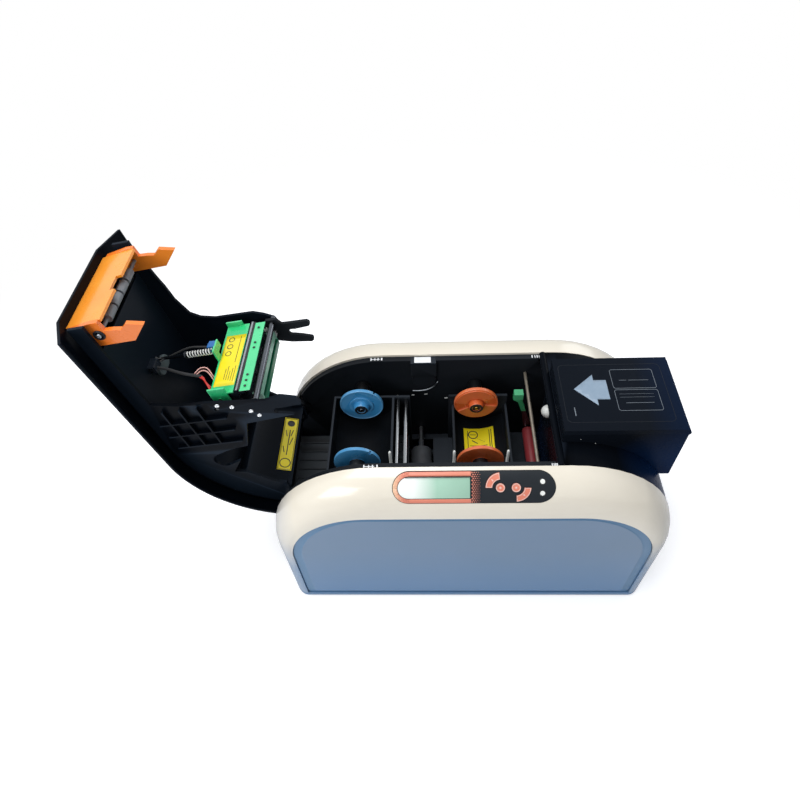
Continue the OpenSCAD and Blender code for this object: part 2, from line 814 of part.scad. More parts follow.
module feeder_box() {
    wall_top = box_top - 6;
    color(black) difference() {
        union() {
            block([box_x0, -box_half, overhang_z], [box_x1, box_half, wall_top]);
            block([box_x0, -box_half, box_floor - box_wall], [box_in_x1, box_half, overhang_z]);
            for (s = [-1, 1]) bar(lid_hinge_x, lid_hinge_z, ear_r, s > 0 ? box_half - box_wall : -box_half,
                s > 0 ? box_half : -box_half + box_wall);
        }
        block([box_x0 + box_wall, -box_half + box_wall, overhang_z + box_wall],
            [box_x1 - box_wall, box_half - box_wall, box_top]);
        block([box_x0 + box_wall, -box_half + box_wall, box_floor],
            [box_in_x1 - box_wall, box_half - box_wall, overhang_z + box_wall + 1]);
        // room for the lid's knuckle, and the bore of its pin
        bar(lid_hinge_x, lid_hinge_z, ear_r + 0.3, -box_half + box_wall, box_half - box_wall);
        block([lid_hinge_x - ear_r, -box_half + box_wall, lid_hinge_z - 1.5], [box_x1 + 5, box_half - box_wall, box_top]);
        bar(lid_hinge_x, lid_hinge_z, lid_pin_r + run_gap, -box_half - 1, box_half + 1);
        // slot that lets one card out, the pick roller's window and the knob's bore
        block([box_x0 - 1, -29, box_floor], [box_x0 + box_wall + 1, 29, box_floor + 2.4]);
        block([pick_x - 12, -32, box_floor - 10], [pick_x + 12, 32, box_floor + 1]);
        translate([box_x0 - 1, knob_y, knob_z]) rotate([0, 90, 0]) cylinder(r = 2 + run_gap, h = box_wall + 2);
    }
}

module feeder_lid() {
    color(black) {
        difference() {
            block([box_x0 - 0.6, -box_half - 0.6, box_top - 5.7], [lid_hinge_x, box_half + 0.6, box_top]);
            block([box_x0 + 2, -box_half + 2.4, box_top - 8], [lid_hinge_x + 1, box_half - 2.4, box_top - 2.4]);
            for (s = [-1, 1]) bar(lid_hinge_x, lid_hinge_z, ear_r + 0.4, s > 0 ? box_half - box_wall - 0.4 : -box_half - 1,
                s > 0 ? box_half + 1 : -box_half + box_wall + 0.4);
        }
        // knuckle and pin
        bar(lid_hinge_x, lid_hinge_z, ear_r, -box_half + box_wall + 0.4, box_half - box_wall - 0.4);
        block([lid_hinge_x - ear_r, -box_half + box_wall + 0.4, lid_hinge_z], [lid_hinge_x, box_half - box_wall - 0.4, box_top - 2]);
        bar(lid_hinge_x, lid_hinge_z, lid_pin_r, -box_half, box_half);
    }
}

module card_weight() {
    color("#2a2d33") {
        block([box_x0 + box_wall + fit_gap, -box_half + box_wall + fit_gap, card_z + 14],
            [box_in_x1 - box_wall - fit_gap, box_half - box_wall - fit_gap, card_z + 17]);
        block([box_x0 + 30, -12, card_z + 17], [box_in_x1 - 32, 12, card_z + 27]);
    }
}

pick_x = 112;
pick_r = 8;
pick_z = card_z - pick_r;

module pick_roller() {
    color("#35383d") for (s = [-1, 1]) bar(pick_x, pick_z, pick_r - 0.4, s * 18 - 8, s * 18 + 8);
    color(steel) bar(pick_x, pick_z, shaft_r, -frame_y, frame_y);
}

knob_y = 20;
knob_z = 189;

module gate_knob() {
    color("white") {
        intersection() {
            translate([box_x0 - fit_gap, knob_y, knob_z]) sphere(r = 7);
            block([box_x0 - 20, knob_y - 10, knob_z - 10], [box_x0 - fit_gap, knob_y + 10, knob_z + 10]);
        }
        translate([box_x0 - fit_gap - 1, knob_y, knob_z]) rotate([0, 90, 0]) cylinder(r = 2, h = box_wall + 1);
    }
}

/* ---- cover, drawn closed and turned open ---- */

skin_low = 2.2;   // depth of the skin's edge below the shells' top
skin_end_a = 72;  // sweep of the skin round the body's end

// Section of the skin: X is the distance from the arch's centre, Y the width
module skin_section() {
    r0 = arch_r;
    t = cover_wall;
    difference() {
        polygon([
            [r0 - skin_low, -skin_half], [r0, -skin_half], [r0 + crown_h, -crown_half],
            [r0 + crown_h, crown_half], [r0, skin_half], [r0 - skin_low, skin_half],
        ]);
        polygon([
            [r0 - skin_low - 1, -skin_half + 2], [r0 - t + 0.6, -skin_half + 2], [r0 + crown_h - t, -crown_half + 1],
            [r0 + crown_h - t, crown_half - 1], [r0 - t + 0.6, skin_half - 2], [r0 - skin_low - 1, skin_half - 2],
        ]);
    }
}

module cover_skin() {
    color(black) opened() {
        translate([cover_end, 0, arch_z]) rotate([0, -90, 0]) linear_extrude(cover_end + arch_x) skin_section();
        translate([-arch_x, 0, arch_z]) rotate([90, 0, 0]) rotate([0, 0, 90])
            rotate_extrude(angle = skin_end_a, $fn = 128) skin_section();
    }
}

// Fork at the cover's rear side that finds the platen's shaft; X runs from that shaft's axis
FORK_OUTLINE = [
    [-5, 28], [10, 28], [18.5, 21], [18.5, 11], [11.9, 7], [11.7, 3.8], [11.2, -17.6], [9.2, -19.8],
    [6.2, -19.6], [4.4, -17.8], [-9.8, -16.8], [-11.8, -17.4], [-14.4, -16.8], [-15.9, -14.4], [-12.6, 5],
];
FORK_WAY = [[3.6, 0], [3.2, -4], [4.4, -17.8], [4.4, -30], [-12, -30], [-9.9, -16.6], [-7.8, -12], [-5.4, -6], [-3.6, 0]];
fork_way_r = 3.6;

head_half = 42.7;
head_float = 1.5;   // travel of the print head against its spring
head_pin = [-38, 155];
head_pin_r = 1.5;

// Slot that drops over the platen's shaft
module fork_slot() {
    translate([platen_x, platen_z]) {
        polygon(FORK_WAY);
        circle(fork_way_r);
    }
}

hub_r = spindle_r + 3;
take_up_reach = norm([take_up_x - hinge_x, spool_z - hinge_z]);   // take-up axis from the hinge

// Inner wall of the cover below the skin, drawn in X and Z; the lists run along its lower edge
REAR_EDGE = [
    [64, 209.7], [31, 205.6], [20, 203.7], [4, 202.4], [-14.6, 196.6], [-20.9, 188.6], [-24.6, 175.4],
    [-25.2, 137], [-29.6, 127], [-35.4, 118.4], [-48.7, 115.1], [-61.6, 122],
];
FRONT_EDGE = [
    [64, 212.5], [10, 211.5], [-21.8, 210.4], [-25, 198], [-27.5, 188], [-28.3, 162], [-33, 127], [-34.7, 111],
    [-31, 96], [-36, 82.7], [-42.6, 80.6], [-56.8, 86.6], [-58.5, 104],
];

module wall_outline(edge) {
    difference() {
        intersection() {
            arch(-0.5, 60);
            polygon(concat(
                [[cover_end - 2, body_h + 5], [cover_end - 2, edge[0][1]]], edge,
                [[-61.6, 138], [-95, 151.4], [-133, 181.4], [-136, 170], [-157.8, 149], [-162, 138],
                [hinge_x + 8, hinge_z - 8], [hinge_x - 4, hinge_z - 8], [hinge_x - 8, hinge_z - 2],
                [-240, 170], [-240, body_h + 5]]
            ));
        }
        // way over the take-up spindle
        translate([take_up_x, spool_z]) circle(hub_r + 1.4);
        translate([hinge_x, hinge_z]) intersection() {
            difference() {
                circle(take_up_reach + hub_r + 1.4);
                circle(take_up_reach - hub_r - 1.4);
            }
            wedge(-40, atan2(spool_z - hinge_z, take_up_x - hinge_x), 260);
        }
        translate([hinge_x, hinge_z]) circle(hinge_r + 0.02);
        fork_slot();
        // slots that guide the print head's pins
        for (z = [0, head_float]) translate(head_pin + [0, z]) circle(head_pin_r + 0.1);
        translate(head_pin - [head_pin_r + 0.1, 0]) square([2 * head_pin_r + 0.2, head_float]);
    }
}

// Ribs on the wall's outer side
module wall_ribs() {
    for (z = [170, 186, 202]) block([-82, wall_out, z], [-30, wall_out + 3.8, z + 1.6]);
    for (x = [-82, -65, -48]) block([x, wall_out, 150], [x + 1.6, wall_out + 3.8, 214]);
}

module cover_front_wall() {
    color(black) opened() mirror([0, 1, 0]) {
        side_plate(wall_in, wall_out) wall_outline(FRONT_EDGE);
        wall_ribs();
    }
}

module cover_rear_wall() {
    color(black) opened() {
        side_plate(wall_in, wall_out) wall_outline(REAR_EDGE);
        wall_ribs();
    }
}

module hinge_pins() {
    color(steel) opened() for (s = [-1, 1])
        bar(hinge_x, hinge_z, hinge_r, s > 0 ? wall_in : -frame_y, s > 0 ? frame_y : -wall_in);
}

SCREWS = [[-33, 153.2], [-37, 141.2], [-45.2, 127], [-52, 122]];

module cover_screws() {
    color(steel) opened() for (s = [-1, 1]) for (p = SCREWS)
        bar(p[0], p[1], 2, s > 0 ? wall_out : -wall_out - 1.2, s > 0 ? wall_out + 1.2 : -wall_out);
}

liner_half = wall_in - 0.1;
liner_drop = 6;

// Ceiling over the ribbon, curving down to the inner end beside the hinge
module cover_liner() {
    color(black) opened() side_plate(-liner_half, liner_half) {
        translate([-arch_x, body_h - liner_drop]) square([arch_x + 40, 2]);
        arch_sector(-1, arch_r - liner_drop, arch_r - liner_drop + 2, 90, 132);
        arch_sector(-1, arch_r - 27, arch_r - liner_drop + 2, 131, 132.4);
        arch_sector(-1, arch_r - 27, arch_r - 25, 131, 163);
    }
}

// Bent bracket of the print head, with its guide pins
module print_head_bracket() {
    color(head_green) opened() {
        block([-32, -head_half, 140], [-30.4, head_half, 162]);
        block([-46, -head_half, 160.4], [-32, head_half, 162]);
        for (s = [-1, 1]) {
            block([-42, s > 0 ? head_half - 1.6 : -head_half, 146], [-25, s > 0 ? head_half : -head_half + 1.6, 162]);
            bar(head_pin[0], head_pin[1], head_pin_r, s > 0 ? head_half - 1 : -wall_out + 0.3,
                s > 0 ? wall_out - 0.3 : -head_half + 1);
        }
        // tongue under the spring
        block([-30.4, -3.6, 160.4], [-16.6, 3.6, 162]);
    }
}

module print_head() {
    color("#23272c") opened() difference() {
        union() {
            block([-57, -40, 138], [-32, 40, 152]);
            block([-54, -38, 127.4], [-36, 38, 138]);
            // cooling bar
            block([-37, -40, 132], [-31, 40, 137.4]);
        }
        for (i = [-5:5]) block([-52, i * 7 - 1.2, 144], [-36, i * 7 + 1.2, 153]);
    }
}

// Coil spring that presses the print head down, on a post below the ceiling, as a wavy sleeve
module head_spring() {
    turns = 8;
    pitch = 2.5;
    z0 = 162 + head_float + 0.3;
    z1 = body_h - liner_drop - z0;
    top = turns * pitch;
    spring_r = 3;
    waves = [for (i = [0:turns - 1]) each [[spring_r, i * pitch + 0.6], [spring_r, i * pitch + 1.4], [spring_r - 0.8, i * pitch + 2.2]]];
    color("white") opened() translate([-19.6, 0, z0]) rotate_extrude() polygon(concat(
        [[1.6, 0], [2.6, 0]], waves,
        [[spring_r, top + 0.6], [spring_r, top + 2], [1.5, top + 2], [1.5, z1], [0, z1], [0, 1], [1.6, 1]]
    ));
}

RAIL_X = [-46.5, -56.5];

module ribbon_rails() {
    color(head_green) opened() {
        for (x = RAIL_X) block([x, -36, 119], [x + 5.5, 36, 124.6]);
        for (s = [-1, 1]) block([RAIL_X[1], s > 0 ? 36 : -38, 119], [RAIL_X[0] + 5.5, s > 0 ? 38 : -36, 127]);
    }
}

guide_roller_x = -35.5;
guide_roller_z = 119.7;
guide_roller_r = 2.8;

module guide_roller() {
    color("#5a5e63") opened() bar(guide_roller_x, guide_roller_z, guide_roller_r, -wall_in + 0.3, wall_in - 0.3);
}

idler_x = -46;
idler_z = 126.5;

module idler_gear() {
    color("#8a8d90") opened() {
        translate([idler_x, 42.4, idler_z]) rotate([90, 0, 0]) gear(14, 1, 3.6, 1.5);
        bar(idler_x, idler_z, 1.5, 38.8, wall_in - 0.3);
    }
}

module locating_fork() {
    color(black) opened() {
        difference() {
            side_plate(43, 46.2) translate([platen_x, platen_z]) polygon(FORK_OUTLINE);
            side_plate(42, 47) fork_slot();
            bar(idler_x, idler_z, 1.5 + run_gap, 42, 47);
            bar(guide_roller_x, guide_roller_z, guide_roller_r + run_gap, 42, 47);
        }
        // stand-offs against the rear wall
        for (x = [-2.6, 9.6]) bar(platen_x + x, platen_z + 25, 2, 46.2, wall_in);
    }
}

latch_x = 57.8;
latch_z = 209.4;

// Cassette at the cover's free end; its prongs straddle the tie rod when the cover is shut
module cleaning_cassette() {
    color("#ff9a3c") opened() {
        difference() {
            for (s = [-1, 1]) side_plate(s > 0 ? 43.6 : -47.6, s > 0 ? 47.6 : -43.6) polygon([
                [64.3, 231.6], [60.9, 225.4], [46.9, 222.6], [47.3, 184.7], [61, 170], [64.6, 183.5],
                [59.5, 190], [60.6, 196], [61, 203.6], [69.9, 204.4], [69.9, 211.5], [66.4, 231.6],
            ]);
            bar(latch_x, latch_z, 1.6 + run_gap, -50, 50);
        }
        difference() {
            side_plate(-43.6, 43.6) polygon([
                [63.4, body_h + crown_h - cover_wall], [66, body_h + crown_h - cover_wall], [69.6, 203.4], [67.4, 202.8],
            ]);
            block([60, -8, 200], [76, 9, 208]);
        }
    }
}

module cassette_rollers() {
    color("#7d8288") opened() for (y = [-29, -14, 1, 16]) bar(latch_x, latch_z, 4, y, y + 13);
    color(steel) opened() bar(latch_x, latch_z, 1.6, -47.4, 47.4);
}

module bumper_pad() {
    color("#565b60") opened() translate([-27.4, 0, body_h - liner_drop - 4]) linear_extrude(4) rotate(90) stadium(22, 12);
}

module head_connector() {
    color("#2f7fd0") opened() block([-20, -18, 199], [-10, -4, 207]);
    color("#c33030") opened() for (y = [-16, -13, -10, -7]) block([-16, y, 207], [-14.6, y + 1.4, body_h - liner_drop]);
}

base_pan();
rubber_feet();
front_side_shell();
rear_side_shell();
front_side_panel();
rear_side_panel();
front_inner_frame();
rear_inner_frame();
ribbon_bay_tub();
output_ramp();
left_end_cover();
right_end_cover();
feeder_base();
feeder_box();
feeder_lid();
card_weight();
pick_roller();
gate_knob();
tie_rod();
ribbon_guide_rods();
locating_posts();
cover_sensor();
control_fascia();
lcd_window();
status_lamps();
arc_key_back();
round_key_left();
round_key_right();
arc_key_front();
main_board();
drive_motor();
motor_pinion();
platen_gear();
platen_roller();
cleaning_roller();
roller_lift_lever();
take_up_spindle_front();
take_up_spindle_rear();
supply_spindle_front();
supply_spindle_rear();
power_inlet();
power_switch();
data_socket();
cover_skin();
cover_front_wall();
cover_rear_wall();
cover_liner();
hinge_pins();
cover_screws();
print_head_bracket();
print_head();
head_spring();
ribbon_rails();
guide_roller();
idler_gear();
locating_fork();
cleaning_cassette();
cassette_rollers();
bumper_pad();
head_connector();
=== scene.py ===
# Desktop card printer with its cover swung back: materials, small pieces, light and camera.
import bpy
import bmesh
import math
from mathutils import Matrix, Vector
from mathutils.bvhtree import BVHTree


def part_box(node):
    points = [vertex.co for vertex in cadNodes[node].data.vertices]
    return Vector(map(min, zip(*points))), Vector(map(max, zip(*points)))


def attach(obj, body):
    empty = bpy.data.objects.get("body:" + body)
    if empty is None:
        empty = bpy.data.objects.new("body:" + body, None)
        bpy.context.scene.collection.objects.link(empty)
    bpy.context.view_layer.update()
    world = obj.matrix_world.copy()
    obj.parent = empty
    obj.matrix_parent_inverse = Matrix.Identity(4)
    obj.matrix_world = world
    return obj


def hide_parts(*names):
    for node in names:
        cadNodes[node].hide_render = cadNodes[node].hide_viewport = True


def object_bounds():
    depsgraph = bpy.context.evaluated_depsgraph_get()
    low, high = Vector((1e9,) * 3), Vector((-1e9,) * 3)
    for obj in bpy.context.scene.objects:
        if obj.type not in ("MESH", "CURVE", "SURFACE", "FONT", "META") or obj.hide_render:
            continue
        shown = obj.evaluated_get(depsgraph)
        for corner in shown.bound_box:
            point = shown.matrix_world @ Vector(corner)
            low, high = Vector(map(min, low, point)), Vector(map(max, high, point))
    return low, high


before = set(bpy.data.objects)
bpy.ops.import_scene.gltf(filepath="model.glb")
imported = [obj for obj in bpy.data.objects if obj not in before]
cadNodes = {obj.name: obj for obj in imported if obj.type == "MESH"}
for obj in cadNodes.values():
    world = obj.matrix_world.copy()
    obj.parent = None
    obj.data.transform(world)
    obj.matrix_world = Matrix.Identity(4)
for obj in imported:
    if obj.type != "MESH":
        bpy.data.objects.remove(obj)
cadBounds = [[float(v) for v in corner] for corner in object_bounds()]
print("frame loaded:", len(cadNodes), "nodes")

# Pieces on the cover are written for the closed cover, and this swings them back to the rest pose.
coverHinge = {"axis": (-188, 0, 146), "opens": 99.5}  # millimetres and degrees
hinge = Vector(coverHinge["axis"])
swungBack = (Matrix.Translation(hinge) @ Matrix.Rotation(math.radians(-coverHinge["opens"]), 4, "Y")
             @ Matrix.Translation(-hinge))
metresPerMm = 0.001


def rgb(code):
    # an sRGB hex value turned to linear, with full alpha
    parts = [int(code[i:i + 2], 16) / 255 for i in (1, 3, 5)]
    return (*[c / 12.92 if c <= 0.04045 else ((c + 0.055) / 1.055) ** 2.4 for c in parts], 1.0)


def add(tree, kind, settings=None, links=None):
    node = tree.nodes.new(kind)
    for key, value in (settings or {}).items():
        if isinstance(key, str) and hasattr(node, key):
            setattr(node, key, value)
        else:
            node.inputs[key].default_value = value
    for key, source in (links or {}).items():
        tree.links.new(source, node.inputs[key])
    return node


def blendIn(tree, base, tone, mask):
    # inputs 6 and 7 of a Mix node are its two colours, output 2 the result
    return add(tree, "ShaderNodeMix", {"data_type": "RGBA", 7: tone}, {0: mask, 6: base}).outputs[2]


# the stretch of each noise that is spread over a finish's two tones, its roughness and its worn edges with
# their painted highlight
patternRange = {"tone": (0.25, 0.75), "smudge": (0.3, 0.7), "wornAndLitEdges": (0.52, 0.6), "speckCore": 0.6,
                "plainSmudgeMm": 14}


def surface(name, s):
    # Two tones drift over toneMm, roughness drifts between two values, grain stands up by its
    # depth, zones paint by place, specks scatter small flecks; all lengths are real millimetres.
    mat = bpy.data.materials.new(name)
    mat.use_nodes = True
    tree = mat.node_tree
    tree.nodes.clear()
    place = add(tree, "ShaderNodeTexCoord").outputs["Object"]
    millimetres = add(tree, "ShaderNodeVectorMath", {"operation": "SCALE", "Scale": 1 / metresPerMm},
                      {0: place}).outputs["Vector"]
    stretched = add(tree, "ShaderNodeVectorMath", {"operation": "MULTIPLY", 1: s.get("stretch", (1, 1, 1))},
                    {0: millimetres}).outputs["Vector"]
    drift = add(tree, "ShaderNodeTexNoise", {"Scale": 1 / s["toneMm"], "Detail": 4.0, "Roughness": 0.6},
                {"Vector": stretched}).outputs["Fac"]
    low, high = patternRange["tone"]
    spread = add(tree, "ShaderNodeMapRange", {"From Min": low, "From Max": high}, {"Value": drift}).outputs[0]
    colour = add(tree, "ShaderNodeMix", {"data_type": "RGBA", 6: rgb(s["tone"]), 7: rgb(s["shade"])},
                 {0: spread}).outputs[2]
    smudgeMm = s.get("smudgeMm", patternRange["plainSmudgeMm"])
    smudge = add(tree, "ShaderNodeTexNoise", {"Scale": 1 / smudgeMm, "Detail": 3.0},
                 {"Vector": millimetres}).outputs["Fac"]
    low, high = patternRange["smudge"]
    rough = add(tree, "ShaderNodeMapRange", {"From Min": low, "From Max": high, "To Min": s["rough"][0],
                                             "To Max": s["rough"][1]}, {"Value": smudge}).outputs[0]
    if "edgeWearAndHighlight" in s:
        # handled edges lose their finish and are painted lighter as a highlight: a curved edge reads as pointed
        # geometry
        point = add(tree, "ShaderNodeNewGeometry").outputs["Pointiness"]
        low, high = patternRange["wornAndLitEdges"]
        mask = add(tree, "ShaderNodeMapRange", {"From Min": low, "From Max": high, "To Max": s["edgeWearAndHighlight"]["most"]},
                   {"Value": point}).outputs[0]
        colour = blendIn(tree, colour, rgb(s["edgeWearAndHighlight"]["tone"]), mask)
    metal = None
    for zone in s.get("zones", []):
        along = add(tree, "ShaderNodeVectorMath", {"operation": "DOT_PRODUCT", 1: zone["along"]},
                    {0: millimetres}).outputs["Value"]
        if zone.get("bothWays"):
            along = add(tree, "ShaderNodeMath", {"operation": "ABSOLUTE"}, {0: along}).outputs[0]
        mask = add(tree, "ShaderNodeMapRange", {"From Min": zone["start"], "From Max": zone["stop"],
                                                "To Max": zone.get("most", 1.0)}, {"Value": along}).outputs[0]
        colour = blendIn(tree, colour, rgb(zone["tone"]), mask)
        if "rough" in zone:
            rough = add(tree, "ShaderNodeMix", {3: zone["rough"]}, {0: mask, 2: rough}).outputs[0]
        if "metal" in zone:
            metal = add(tree, "ShaderNodeMath", {"operation": "MULTIPLY", 1: zone["metal"]},
                        {0: mask}).outputs[0]
    if "specks" in s:
        k = s["specks"]
        cells = add(tree, "ShaderNodeTexVoronoi", {"Scale": 1 / k["mm"]}, {"Vector": millimetres})
        core = k["size"] * patternRange["speckCore"]
        mask = add(tree, "ShaderNodeMapRange", {"From Min": k["size"], "From Max": core, "To Max": k["most"]},
                   {"Value": cells.outputs["Distance"]}).outputs[0]
        colour = blendIn(tree, colour, rgb(k["tone"]), mask)
    grain = add(tree, "ShaderNodeTexNoise", {"Scale": 1 / s["grainMm"], "Detail": 2.0}, {"Vector": stretched})
    bump = add(tree, "ShaderNodeBump", {"Strength": 1.0, "Distance": s["grain"] * metresPerMm},
               {"Height": grain.outputs["Fac"]})
    settings = {"Metallic": s.get("metal", 0.0), "Coat Weight": s.get("coat", 0.0), "Coat Roughness": 0.08,
                "Sheen Weight": s.get("sheen", 0.0), "Emission Strength": 0.0}
    if "gloss" in s:
        settings["Specular IOR Level"] = s["gloss"]
    links = {"Base Color": colour, "Roughness": rough, "Normal": bump.outputs["Normal"]}
    if metal is not None:
        links["Metallic"] = metal
    shader = add(tree, "ShaderNodeBsdfPrincipled", settings, links)
    add(tree, "ShaderNodeOutputMaterial", None, {"Surface": shader.outputs["BSDF"]})
    return mat
